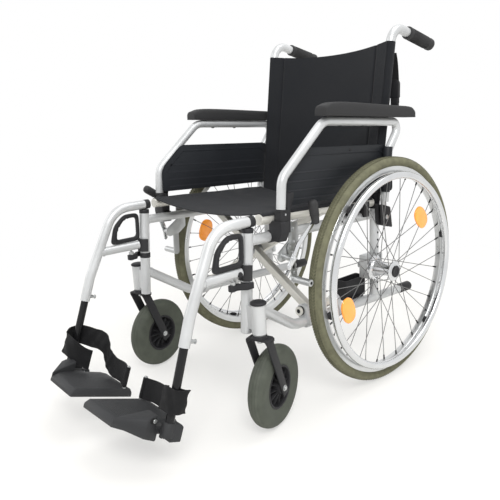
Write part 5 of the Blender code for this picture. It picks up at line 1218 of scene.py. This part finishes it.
def sockets(name, side):
    """The front socket with its latch, and the rear socket with its pin."""
    body, line = f"{name}_frame", X_AXIS * side
    mesh = bmesh.new()
    outline = [(0.221, 0.129), (0.252, 0.127), (0.261, 0.148), (0.261, 0.174), (0.22, 0.174)]
    prism(mesh, round_corners(outline, 0.003, 3), lengthwise(side), -0.382, -0.357)
    sleeve = round_corners([(0.2315, -0.3795), (0.259, -0.3795), (0.259, -0.3572), (0.2315, -0.3572)], 0.0075,
                           5)
    prism(mesh, sleeve, mirrored_to(side, tilted), 0.173, 0.2)
    wrap = open_ring((SIDE_X, 0.1366), 0.0146, 0.0124, [math.radians(20 * k - 100) for k in range(11)])
    prism(mesh, wrap, lengthwise(side), -0.3818, -0.3572)
    mouth = chair(side * ARM_X, -0.3627, 0.5186)
    spindle(mesh, [(0.0125, -0.001), (0.0131, 0.0005), (0.012, 0.0012)], mouth, UP, 40)
    finished(f"{name}_front_socket", mesh, "black_plastic", body, f"{name}_front_arm_socket", bevel=0.0012)
    mesh = bmesh.new()
    flag = round_corners([(0.0106, 0.48), (0.0569, 0.466), (0.0674, 0.4064), (0.0157, 0.4208)], 0.006)
    for x_range in ((0.2297, 0.2393), (0.2477, 0.2497)):
        plate(mesh, flag, side, x_range)
    finished(f"{name}_rear_socket", mesh, "black_plastic", body, f"{name}_rear_arm_socket", bevel=0.001)
    mesh = bmesh.new()
    profile = [(0.005, 0.238), (0.005, 0.2497), (0.0062, 0.2498), (0.0062, 0.2508), (0.0045, 0.2512)]
    spindle(mesh, profile, chair(0, *ARM_PIVOT), line, 24)
    bolt(mesh, tilted(side * 0.2588, -0.367, 0.19), line, 0.0019, 0.0014)
    finished(f"{name}_socket_bolts", mesh, "zinc_steel", body)
    front, back, flare, low, high = -0.3567, -0.3452, 0.01, 0.146, 0.238
    outline = [(front, low), (back, low), (back, 0.2), (back + flare, 0.226), (back + flare, high),
               (front, high - 0.002)]
    mesh = bmesh.new()
    prism(mesh, round_corners(outline, 0.0025, 3), lambda u, v, x: tilted(side * x, u, v), 0.243, 0.254)
    finished(f"{name}_latch_lever", mesh, "black_plastic", f"{name}_arm_latch", f"{name}_arm_latch",
             bevel=0.001)


def wheel_lock(name, side):
    """Mounting plate, hand lever with its grip, and the shoe arm with its rod."""
    line = X_AXIS * side
    mesh = bmesh.new()
    outline = [(-0.322, 0.482), (-0.294, 0.482), (-0.294, 0.415), (-0.318, 0.398), (-0.352, 0.392),
               (-0.362, 0.4),
               (-0.362, 0.414), (-0.324, 0.44)]
    plate(mesh, round_corners(outline, 0.005), side, (0.2295, 0.233))
    for pivot, reach in ((BRAKE_PIVOT, LEVER_X[1] + 0.0018), (SHOE_PIVOT, 0.24)):
        pin(mesh, 0.0035, 0.232, reach, chair(0, *pivot), line, 20)
    pin(mesh, 0.007, 0.2325, LEVER_X[0] - 0.0006, chair(0, *BRAKE_PIVOT), line, 24)
    for y, z in ((-0.309, 0.464), (-0.306, 0.433)):
        bolt(mesh, chair(side * 0.233, y, z), line, 0.0048, 0.003)
    finished(f"{name}_lock_plate", mesh, "zinc_steel", f"{name}_frame", f"{name}_brake_mount", bevel=0.0004)
    lock_lever(name, side, line)
    lock_shoe(name, side, line)


def lock_lever(name, side, line):
    """The wheel lock's bar with its bolts, and its rubber grip with ridges."""
    body = f"{name}_brake_lever"
    thrown = lambda *points: turn_about(points, BRAKE_PIVOT, BRAKE_THROW[name])
    bar = strip([(-0.361, 0.386), (-0.344, 0.405), (-0.328, 0.435), (-0.274, 0.48)],
                [0.0058, 0.0074, 0.0068, 0.0056])
    mesh = bmesh.new()
    plate(mesh, thrown(*round_corners(bar, 0.005)), side, LEVER_X)
    bolt(mesh, chair(side * LEVER_X[1], *thrown((-0.359, 0.388))[0]), line, 0.0045, 0.0026)
    bolt(mesh, chair(side * (LEVER_X[1] + 0.0004), *BRAKE_PIVOT), line, 0.0052, 0.003)
    finished(f"{name}_lock_bar", mesh, "bright_steel", body, bevel=0.0005)
    base, tip = (chair(side * 0.2732, *point) for point in thrown((-0.276, 0.4845), (-0.285, 0.5335)))
    way, length = direction(base, tip), (tip - base).length
    mesh = bmesh.new()
    profile = [(0.0056, -0.0085), (0.0084, -0.0072), (0.0094, -0.001), (0.0098, 0.006), (0.0108, 0.016),
               (0.0115, 0.029), (0.0116, 0.038), (0.011, length - 0.007), (0.009, length - 0.0024),
               (0.005, length)]
    spindle(mesh, profile, base, way, 28)
    finished(f"{name}_lock_grip", mesh, "grip_rubber", body, f"{name}_brake_lever", angle=60)
    mesh = bmesh.new()
    turned(mesh, [(0.0104, -0.0007), (0.0117, 0.0), (0.0104, 0.0007)], base + way * 0.013, way, 28)
    row = along(5, way * 0.0055, "grip_rubber")
    finished(f"{name}_grip_ridges", mesh, "grip_rubber", body, arrays=[row])


def lock_shoe(name, side, line):
    """The wheel lock's shoe arm and its hollow rod, with a near-black plug in the rod's bore and a thin
    near-black strip on the arm, both painted shade.
    """
    body = f"{name}_brake_shoe"
    swung = lambda *points: turn_about(points, SHOE_PIVOT, -SHOE_RATIO * BRAKE_THROW[name])
    rod = chair(0, *swung(SHOE_ROD)[0])
    mesh = bmesh.new()
    plate(mesh, swung(*capsule(SHOE_PIVOT, SHOE_ROD, 0.009)), side, SHOE_X)
    hole = [(0.004, 0.29), (0.0072, 0.29), (0.0084, 0.289), (0.0084, 0.236), (0.004, 0.236)]
    turned(mesh, hole, rod, line, 40)
    bolt(mesh, chair(side * SHOE_X[1], *SHOE_PIVOT), line, 0.005, 0.003)
    for y, z in swung((-0.3205, 0.411), (-0.315, 0.361)):
        bolt(mesh, chair(side * SHOE_X[1], y, z), line, 0.0038, 0.0028)
    finished(f"{name}_lock_shoe", mesh, "zinc_steel", body, f"{name}_brake_shoe", angle=40)
    mesh = bmesh.new()
    # Painted shade: a thin near-black strip on the arm, and a near-black plug filling the hollow rod's bore.
    plate(mesh, swung(*capsule((-0.3195, 0.4), (-0.3165, 0.373), 0.003)), side, (0.2376, 0.2383))
    pin(mesh, 0.004, 0.238, 0.2885, rod, line, 20)
    finished(f"{name}_rod_hole", mesh, "painted_hole_shade", body)


def push_handle(name, side):
    """The rubber grip with its ribs."""
    body = f"{name}_frame"
    start, end = (chair(side * CANE_X, *p) for p in GRIP)
    way, length = direction(start, end), (end - start).length
    mesh = bmesh.new()
    profile = [(0.0128, 0.0), (0.0164, 0.0004), (0.0172, 0.003), (0.0172, 0.008), (0.016, 0.012),
               (0.0158, 0.04),
               (0.0163, length * 0.6), (0.0158, length - 0.02), (0.017, length - 0.012),
               (0.0166, length - 0.004),
               (0.012, length), (0.003, length)]
    spindle(mesh, profile, start, way, 48)
    finished(f"{name}_handle_grip", mesh, "grip_rubber", body, f"{name}_push_grip", angle=50)
    mesh = bmesh.new()
    rib = [(0.0155, -0.0009), (0.017, -0.0004), (0.017, 0.0004), (0.0155, 0.0009)]
    turned(mesh, rib, start + way * 0.018, way, 40)
    count = settings().grip_ribs
    row = along(count, way * ((length - 0.04) / count), "grip_rubber")
    finished(f"{name}_handle_ribs", mesh, "grip_rubber", body, arrays=[row])


def braces():
    """The two brace bars with their tubes, the centre bolt and the bars' end plugs."""
    for node, side, u in (("front_brace", 1, BRACE_U[0]), ("rear_brace", -1, BRACE_U[1])):
        pivot = lambda at: tilted(side * LOWER_PIVOT[0], at, LOWER_PIVOT[1])
        rail = lambda at: tilted(-side * SEAT_RAIL[0], at, SEAT_RAIL[1])
        across = BACK.cross(direction(pivot(u), rail(u)))
        section = [(-BAR_HALF, -0.01), (BAR_HALF, -0.01), (BAR_HALF, 0.01), (-BAR_HALF, 0.01)]
        section = round_corners(section, 0.0035)
        mesh = bmesh.new()
        loft(mesh, [[point + across * a + BACK * b for a, b in section] for point in (pivot(u), rail(u))])
        tube(mesh, [pivot(end) for end in PIVOT_TUBE_U], 0.0115)
        tube(mesh, [rail(end) for end in SEAT_RAIL_U], SEAT_RAIL_RADIUS)
        finished(f"{node}_bar", mesh, "warm_paint", node, node)
        mesh = bmesh.new()
        ring = [(0.0114, -0.0092), (0.0123, -0.0088), (0.0123, -0.0052), (0.0114, -0.0048)]
        for end, way in zip(PIVOT_TUBE_U, (-BACK, BACK)):
            spindle(mesh, ring, pivot(end), way)
        spindle(mesh, [(0.01, -0.002), (0.0112, 0.0), (0.0098, 0.0014)], rail(SEAT_RAIL_U[1]), BACK)
        finished(f"{node}_plugs", mesh, "black_plastic", node)
        # A near-black disc in the pivot tube's open front end: painted shade for the inside of the tube.
        mesh = bmesh.new()
        pin(mesh, 0.0056, 0.0002, 0.0006, pivot(PIVOT_TUBE_U[0]), -BACK, 24)
        finished(f"{node}_tube_holes", mesh, "painted_hole_shade", node)
    mesh = bmesh.new()
    centre = tilted(0, BRACE_U[0] - 0.01, BRACE_CENTRE_V)
    bolt(mesh, centre, -BACK, 0.008, 0.005)
    pin(mesh, 0.012, 0.019, 0.0297, centre, BACK, 32)
    bolt(mesh, centre + BACK * 0.05, BACK, 0.008, 0.006)
    finished("brace_bolt", mesh, "zinc_steel", "front_brace")


def stick_cup():
    """The open cup beside the left lower rail."""
    mesh = bmesh.new()
    rings = []
    for inset, z in ((0.004, 0.213), (0, 0.217), (0, 0.2715), (0.003, 0.2715), (0.003, 0.216)):
        near, far, front, rear = 0.1626 + inset, 0.1997 - inset, inset - 0.077, 0.012 - inset
        corners = [(near, front), (far, front), (far, rear), (near, rear)]
        rings.append([chair(x, y, z) for x, y in round_corners(corners, 0.006)])
    loft(mesh, rings)
    block(mesh, (0.1975, -0.057, 0.214), (0.2062, -0.008, 0.22), chair)
    finished("stick_cup_shell", mesh, "black_plastic", "left_frame", "left_stick_cup", bevel=0.0006)


def cloth_grid(name, columns, rows, place, thickness, body=None, node=None):
    """A sheet of cloth over a grid. place turns two shares from 0 to 1 into a point and its normal."""
    mesh = bmesh.new()
    spots = [[place(i / columns, j / rows) for j in range(rows + 1)] for i in range(columns + 1)]
    top, low = ([[mesh.verts.new(point + normal * (thickness / 2 * sign)) for point, normal in column]
                 for column in spots] for sign in (1, -1))
    for layer in (top, low):
        for one, two in zip(layer, layer[1:]):
            for j in range(rows):
                mesh.faces.new((one[j], two[j], two[j + 1], one[j + 1]))
    rim = [(i, 0) for i in range(columns)] + [(columns, j) for j in range(rows)]
    rim += [(i, rows) for i in range(columns, 0, -1)] + [(0, j) for j in range(rows, 0, -1)]
    for (a, b), (c, d) in zip(rim, rim[1:] + rim[:1]):
        mesh.faces.new((top[a][b], top[c][d], low[c][d], low[a][b]))
    return finished(name, mesh, "black_fabric", body, node, angle=50)


def seat():
    """The seat cloth, wrapped over both rails, with its stitches."""
    x_rail, v_rail = SEAT_RAIL
    radius = SEAT_RAIL_RADIUS + 0.0018
    turns = [math.radians(degrees) for degrees in range(38, 91, 13)]
    wrap = [(-(x_rail + radius * math.cos(t)), v_rail + radius * math.sin(t)) for t in turns]
    shares = [k / 12 - 1 for k in range(1, 24)]
    span = [(x_rail * t, v_rail + radius - SLING_SAG * (1 - abs(t) ** 2.2)) for t in shares]
    line = [Vector(p) for p in wrap + span + [(-x, v) for x, v in reversed(wrap)]]

    def place(s, t):
        """A point of the cloth: s across the chair, t from its front to its back."""
        spot = min(s * (len(line) - 1), len(line) - 1.001)
        k = int(spot)
        point, way = line[k].lerp(line[k + 1], spot - k), (line[k + 1] - line[k]).normalized()
        ripple = 0.001 * math.sin(s * 19 + t * 5) * math.sin(math.pi * t) + 0.0006 * math.sin(t * 31 + s * 3)
        middle = math.sin(math.pi * s) ** 0.5
        edge = 0.004 * middle * (2 * t - 1) ** 8
        u = SEAT_RAIL_U[0] + 0.004 + (SEAT_RAIL_U[1] - SEAT_RAIL_U[0] - 0.01) * t
        normal = tilted(-way.y, 0, way.x) - tilted(0, 0, 0)
        return tilted(point.x, u, point.y + (ripple - edge) * middle), normal.normalized()

    cloth = cloth_grid("seat_cloth", 96, 60, place, CLOTH_THICKNESS, node="seat_sling")
    start, end = (tuple(tilted(x, 0, 0.16)) for x in (0.19, -0.19))
    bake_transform(cloth)
    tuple(start)
    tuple(end)
    round(length_of(line), 3)
    for row, share, body in (("left", 0.855, "rear_brace"), ("right", 0.145, "front_brace")):
        point, normal = place(share, 0.02)
        dash = [(-0.0004, -0.0014), (0.0004, -0.0014), (0.0004, 0.0014), (-0.0004, 0.0014)]
        mesh = bmesh.new()
        prism(mesh, dash, lambda a, b, h: point + X_AXIS * a + BACK * b + normal * (0.0014 + h), -0.0003,
              0.0004)
        stitches = along(96, BACK * 0.0041, "webbing")
        finished(f"{row}_seat_stitches", mesh, "webbing", body, arrays=[stitches])


def back_rest():
    """The back cloth between the handle tubes, its sleeves round them, its seams and the hanging strap."""
    wrap = 0.86
    lean = direction(cane_at(1, 0.5), cane_at(1, 0.8))
    front = Vector((0, -lean.z, lean.y))
    height = lambda t: BACK_Z[0] + (BACK_Z[1] - BACK_Z[0]) * t

    def place(s, t):
        """A point of the cloth: s across the chair, t from its lower edge to its top."""
        z = height(t)
        middle = cane_at(1, z)
        edge = POST_RADIUS + 0.0022
        share = (2 * s - 1) / wrap
        open_share = 1 - share * share
        crease = 0.0036 * math.exp(-((abs(share) - 0.8) / 0.012) ** 2)
        waves = 0.0016 * math.sin(t * 3.1 + share * 2.2) + 0.0007 * math.sin(t * 8 - share * 3.0)
        bow = (BACK_SAG + edge) * (1 - abs(share) ** 2.3) - edge
        sag = 0.01 * open_share * t ** 8
        depth = bow + waves * open_share + crease
        return Vector((middle.x * share, middle.y, z - sag)) - front * depth, front

    def cover(s, t):
        """A point of the middle part of the cloth, the part between the tubes."""
        return place((1 - wrap) / 2 + wrap * s, t)

    cloth = cloth_grid("back_cloth", 140, 70, cover, CLOTH_THICKNESS, "left_frame", "back_sling")
    anchor = tuple(cane_at(1, 0.7))
    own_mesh(cloth)
    for name, side in SIDES.items():
        def round_post(s, t):
            """A point of a sleeve: s round the tube's front, t from its lower edge to its top."""
            turn = math.radians(176 * s - 8)
            normal = X_AXIS * (side * math.sin(turn)) + front * math.cos(turn)
            return cane_at(side, height(t)) + normal * (POST_RADIUS + 0.0005), normal.normalized()

        sleeve = cloth_grid(f"{name}_back_sleeve", 24, 60, round_post, 0.0006, f"{name}_frame")
    seams = bmesh.new()
    for s in (0.158, 0.842):
        spots = [place(s, 0.01 + 0.98 * k / 30) for k in range(31)]
        tube(seams, [point + normal * 0.0014 for point, normal in spots], 0.0007, 6)
    welt = finished("back_seams", seams, "webbing", "left_frame")
    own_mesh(welt)
    strap_and_buckle()


def strap_and_buckle():
    """The webbing strap with its buckle that hangs behind the left handle tube."""
    route = ((0.1045, 0.872), (0.112, 0.845), (0.1175, 0.8), (0.119, 0.77), (0.12, 0.742))
    line = smooth_line([Vector((y, z, 0)) for y, z in route])
    section = ((0.206, -0.0008), (0.231, -0.0008), (0.231, 0.0008), (0.206, 0.0008))
    mesh = bmesh.new()
    loft(mesh, [[chair(x, y + shift, z) for x, shift in section] for y, z, _ in line])
    strap = finished("hanging_strap", mesh, "webbing", "left_frame", angle=60)
    round(length_of(line), 3)
    mesh = bmesh.new()
    outline = [(0.203, 0.755), (0.2325, 0.755), (0.2325, 0.796), (0.2265, 0.804), (0.2095, 0.804),
               (0.203, 0.796)]
    prism(mesh, round_corners(outline, 0.004), lambda x, z, y: chair(x, y, z), 0.113, 0.123)
    block(mesh, (0.2065, 0.114, 0.732), (0.23, 0.1222, 0.7552), chair)
    finished("strap_buckle", mesh, "black_plastic", "left_frame", bevel=0.0016)


def stage():
    """The pale floor, the white background, the lights and the camera at the photograph's angle."""
    look, scene = settings(), bpy.context.scene
    mesh = bmesh.new()
    bmesh.ops.create_grid(mesh, x_segments=1, y_segments=1, size=12)
    bmesh.ops.translate(mesh, verts=mesh.verts, vec=(0, 0, -0.0006))
    data = bpy.data.meshes.new("floor")
    mesh.to_mesh(data)
    mesh.free()
    data.materials.append(floor_finish(look))
    new_object("floor", data)
    scene.world = bpy.data.worlds.new("studio")
    scene.world.use_nodes = True
    tree = scene.world.node_tree
    strength = add_node(tree, "ShaderNodeMapRange", {0: seen_rays(tree), 3: look.ambient, 4: 1.0}).outputs[0]
    fill(tree, tree.nodes["Background"], {"Color": (1.0, 1.0, 1.0, 1), "Strength": strength})
    for name, place, share, size in LAMPS:
        lamp = bpy.data.lights.new(name, "AREA")
        lamp.energy = look.key_power * share
        lamp.size = size
        holder = new_object(name, lamp)
        holder.location = place
        holder.rotation_euler = direction(place, LAMP_AIM).to_track_quat("-Z", "Y").to_euler()
    photo_camera()


def seen_rays(tree):
    """1 for what the camera sees straight, in metal or through glass."""
    rays = add_node(tree, "ShaderNodeLightPath").outputs
    mirrored = math_node(tree, "MAXIMUM", rays["Is Glossy Ray"], rays["Is Transmission Ray"])
    return math_node(tree, "MAXIMUM", rays["Is Camera Ray"], mirrored)


def floor_finish(look):
    """A pale floor that keeps the shadows and fades into the white background far away."""
    material, tree, shader = new_material("pale_floor")
    place = add_node(tree, "ShaderNodeTexCoord").outputs["Object"]
    shade = spread(tree, noise(tree, place, 3.0, 4.0), *CLOUDS, 0.985, 1.015)
    tint = scaled(tree, (*look.floor_colour,), shade)
    fill(tree, shader, {"Base Color": tint, "Roughness": 0.6, "Specular IOR Level": 0.1})
    seen = seen_rays(tree)
    glow = add_node(tree, "ShaderNodeEmission", {"Color": (1.0, 0.998, 0.99, 1), "Strength": 1.0}).outputs[0]
    lift = math_node(tree, "MULTIPLY", seen, look.floor_lift)
    pale = add_node(tree, "ShaderNodeMixShader", {0: lift, 1: shader.outputs[0], 2: glow}).outputs[0]
    away = {0: length_node(tree, place), 1: 0.95, 2: 1.9}
    fade = add_node(tree, "ShaderNodeMapRange", away, interpolation_type="SMOOTHSTEP").outputs[0]
    clear = add_node(tree, "ShaderNodeBsdfTransparent").outputs[0]
    far = math_node(tree, "MULTIPLY", seen, fade)
    surface = add_node(tree, "ShaderNodeMixShader", {0: far, 1: pale, 2: clear}).outputs[0]
    fill(tree, tree.nodes["Material Output"], {"Surface": surface})
    return material


def photo_camera():
    """The camera at the place, turn and lens from which the photograph was taken."""
    azimuth, elevation, roll = (math.radians(degrees) for degrees in CAMERA_TURN)
    level = math.cos(elevation)
    back = Vector((math.sin(azimuth) * level, -math.cos(azimuth) * level, math.sin(elevation)))
    flat_right = Vector((math.cos(azimuth), math.sin(azimuth), 0))
    right = flat_right * math.cos(roll) + back.cross(flat_right) * math.sin(roll)
    lens = bpy.data.cameras.new("camera")
    lens.sensor_width = 36
    lens.lens = 40.403
    lens.shift_x, lens.shift_y = -0.0263, -0.0117
    camera = new_object("camera", lens)
    turn = Matrix((right, back.cross(right), back)).transposed()
    camera.matrix_world = Matrix.Translation(chair(*CAMERA_PLACE)) @ turn.to_4x4()
    bpy.context.scene.camera = camera


def whole(name, description, default, low, high):
    """A property that is a whole number."""
    return bpy.props.IntProperty(name=name, description=description, default=default, min=low, max=high)


def number(name, description, default, **limits):
    """A property that is a number."""
    return bpy.props.FloatProperty(name=name, description=description, default=default, **limits)


def colour(name, description, default):
    """A property that is a colour."""
    return bpy.props.FloatVectorProperty(
        name=name, description=description, default=default, size=3, subtype="COLOR")


class WheelchairSizes(bpy.types.PropertyGroup):
    """Sizes and colours that a user may change."""

    tube_sides: whole("Tube sides", "Sides of each round tube", 28, 8, 64)
    wheel_steps: whole("Wheel steps", "Steps round each rear wheel", 144, 32, 256)
    spoke_count: whole("Spokes", "Spokes in each rear wheel, a multiple of four", 36, 12, 48)
    spoke_radius: number("Spoke radius", "Radius of a spoke", 0.001, unit="LENGTH")
    tread_lugs: whole("Tread lugs", "Lugs in each row of a rear tyre's tread", 240, 24, 360)
    caster_spokes: whole("Caster ribs", "Ribs in each caster's wheel", 12, 4, 16)
    grip_ribs: whole("Grip ribs", "Ribs on each push handle's grip", 14, 4, 24)
    weave_pitch: number("Weave pitch", "Distance between two threads", 0.0016, unit="LENGTH")
    paint_colour: colour("Paint", "Colour of the frame", (0.56, 0.57, 0.575))
    cloth_colour: colour("Cloth", "Colour of the seat and back", (0.0115, 0.0125, 0.015))
    tyre_colour: colour("Tyre", "Colour of the rear tyres", (0.14, 0.138, 0.088))
    floor_colour: colour("Floor", "Colour of the floor", (0.93, 0.915, 0.875))
    floor_lift: number("Floor lift", "How far the floor is lifted to white", 0.5, min=0, max=1)
    ambient: number("Ambient", "Strength of the light from all round", 0.75, min=0, max=2)
    key_power: number("Key light", "Power of the key light", 64.0, unit="POWER")


class WHEELCHAIR_OT_finishes(bpy.types.Operator):
    """Makes the chair's materials"""

    bl_idname = "wheelchair.finishes"
    bl_label = "Finishes"

    def execute(self, context):
        make_finishes()
        return {"FINISHED"}


class WHEELCHAIR_OT_frame(bpy.types.Operator):
    """Makes the two side frames with their fittings, axle clamps and push grips"""

    bl_idname = "wheelchair.frame"
    bl_label = "Side frames"

    def execute(self, context):
        for name, side in SIDES.items():
            side_frame(name, side)
            axle_bracket(name, side)
            push_handle(name, side)
        return {"FINISHED"}


class WHEELCHAIR_OT_brace(bpy.types.Operator):
    """Makes the two brace bars and their bolt"""

    bl_idname = "wheelchair.brace"
    bl_label = "Cross brace"

    def execute(self, context):
        braces()
        return {"FINISHED"}


class WHEELCHAIR_OT_rear_wheels(bpy.types.Operator):
    """Makes the rear wheels with their push rings"""

    bl_idname = "wheelchair.rear_wheels"
    bl_label = "Rear wheels"

    def execute(self, context):
        for name, side in SIDES.items():
            rear_wheel(name, side)
        return {"FINISHED"}


class WHEELCHAIR_OT_casters(bpy.types.Operator):
    """Makes the front casters"""

    bl_idname = "wheelchair.casters"
    bl_label = "Casters"

    def execute(self, context):
        for name, side in SIDES.items():
            caster(name, side)
        return {"FINISHED"}


class WHEELCHAIR_OT_leg_rests(bpy.types.Operator):
    """Makes the leg rests, footplates and heel straps"""

    bl_idname = "wheelchair.leg_rests"
    bl_label = "Leg rests"

    def execute(self, context):
        for name, side in SIDES.items():
            leg_rest(name, side)
        return {"FINISHED"}


class WHEELCHAIR_OT_armrests(bpy.types.Operator):
    """Makes the armrests, side panels, sockets and latches"""

    bl_idname = "wheelchair.armrests"
    bl_label = "Armrests"

    def execute(self, context):
        for name, side in SIDES.items():
            armrest(name, side)
        return {"FINISHED"}


class WHEELCHAIR_OT_wheel_locks(bpy.types.Operator):
    """Makes the wheel locks"""

    bl_idname = "wheelchair.wheel_locks"
    bl_label = "Wheel locks"

    def execute(self, context):
        for name, side in SIDES.items():
            wheel_lock(name, side)
        return {"FINISHED"}


class WHEELCHAIR_OT_stick_cup(bpy.types.Operator):
    """Makes the stick cup"""

    bl_idname = "wheelchair.stick_cup"
    bl_label = "Stick cup"

    def execute(self, context):
        stick_cup()
        return {"FINISHED"}


class WHEELCHAIR_OT_seat(bpy.types.Operator):
    """Makes the seat cloth"""

    bl_idname = "wheelchair.seat"
    bl_label = "Seat"

    def execute(self, context):
        seat()
        return {"FINISHED"}


class WHEELCHAIR_OT_back_rest(bpy.types.Operator):
    """Makes the back cloth and its strap"""

    bl_idname = "wheelchair.back_rest"
    bl_label = "Back"

    def execute(self, context):
        back_rest()
        return {"FINISHED"}


class WHEELCHAIR_OT_stage(bpy.types.Operator):
    """Makes the floor, background, lights and camera"""

    bl_idname = "wheelchair.stage"
    bl_label = "Stage"

    def execute(self, context):
        stage()
        return {"FINISHED"}


GROUPS = (
    WHEELCHAIR_OT_finishes,
    WHEELCHAIR_OT_frame,
    WHEELCHAIR_OT_brace,
    WHEELCHAIR_OT_rear_wheels,
    WHEELCHAIR_OT_casters,
    WHEELCHAIR_OT_leg_rests,
    WHEELCHAIR_OT_armrests,
    WHEELCHAIR_OT_wheel_locks,
    WHEELCHAIR_OT_stick_cup,
    WHEELCHAIR_OT_seat,
    WHEELCHAIR_OT_back_rest,
    WHEELCHAIR_OT_stage,
)


class WHEELCHAIR_PT_panel(bpy.types.Panel):
    """Lists the sizes and the operators."""

    bl_label = "Wheelchair"
    bl_idname = "WHEELCHAIR_PT_panel"
    bl_space_type = "VIEW_3D"
    bl_region_type = "UI"
    bl_category = "Wheelchair"

    def draw(self, context):
        sizes = context.scene.wheelchair_sizes
        for name in WheelchairSizes.__annotations__:
            self.layout.prop(sizes, name)
        for group in GROUPS:
            self.layout.operator(group.bl_idname)


def register():
    """Makes the classes known to Blender."""
    for each in (WheelchairSizes, *GROUPS, WHEELCHAIR_PT_panel):
        bpy.utils.register_class(each)
    bpy.types.Scene.wheelchair_sizes = bpy.props.PointerProperty(type=WheelchairSizes)


def unregister():
    """Takes the classes away again."""
    del bpy.types.Scene.wheelchair_sizes
    for each in (WHEELCHAIR_PT_panel, *reversed(GROUPS), WheelchairSizes):
        bpy.utils.unregister_class(each)


def main():
    """Builds the whole chair."""
    register()
    bpy.context.scene.view_settings.view_transform = "Standard"
    for group in GROUPS:
        getattr(bpy.ops.wheelchair, group.bl_idname.split(".")[1])()


if __name__ == "__main__":
    main()
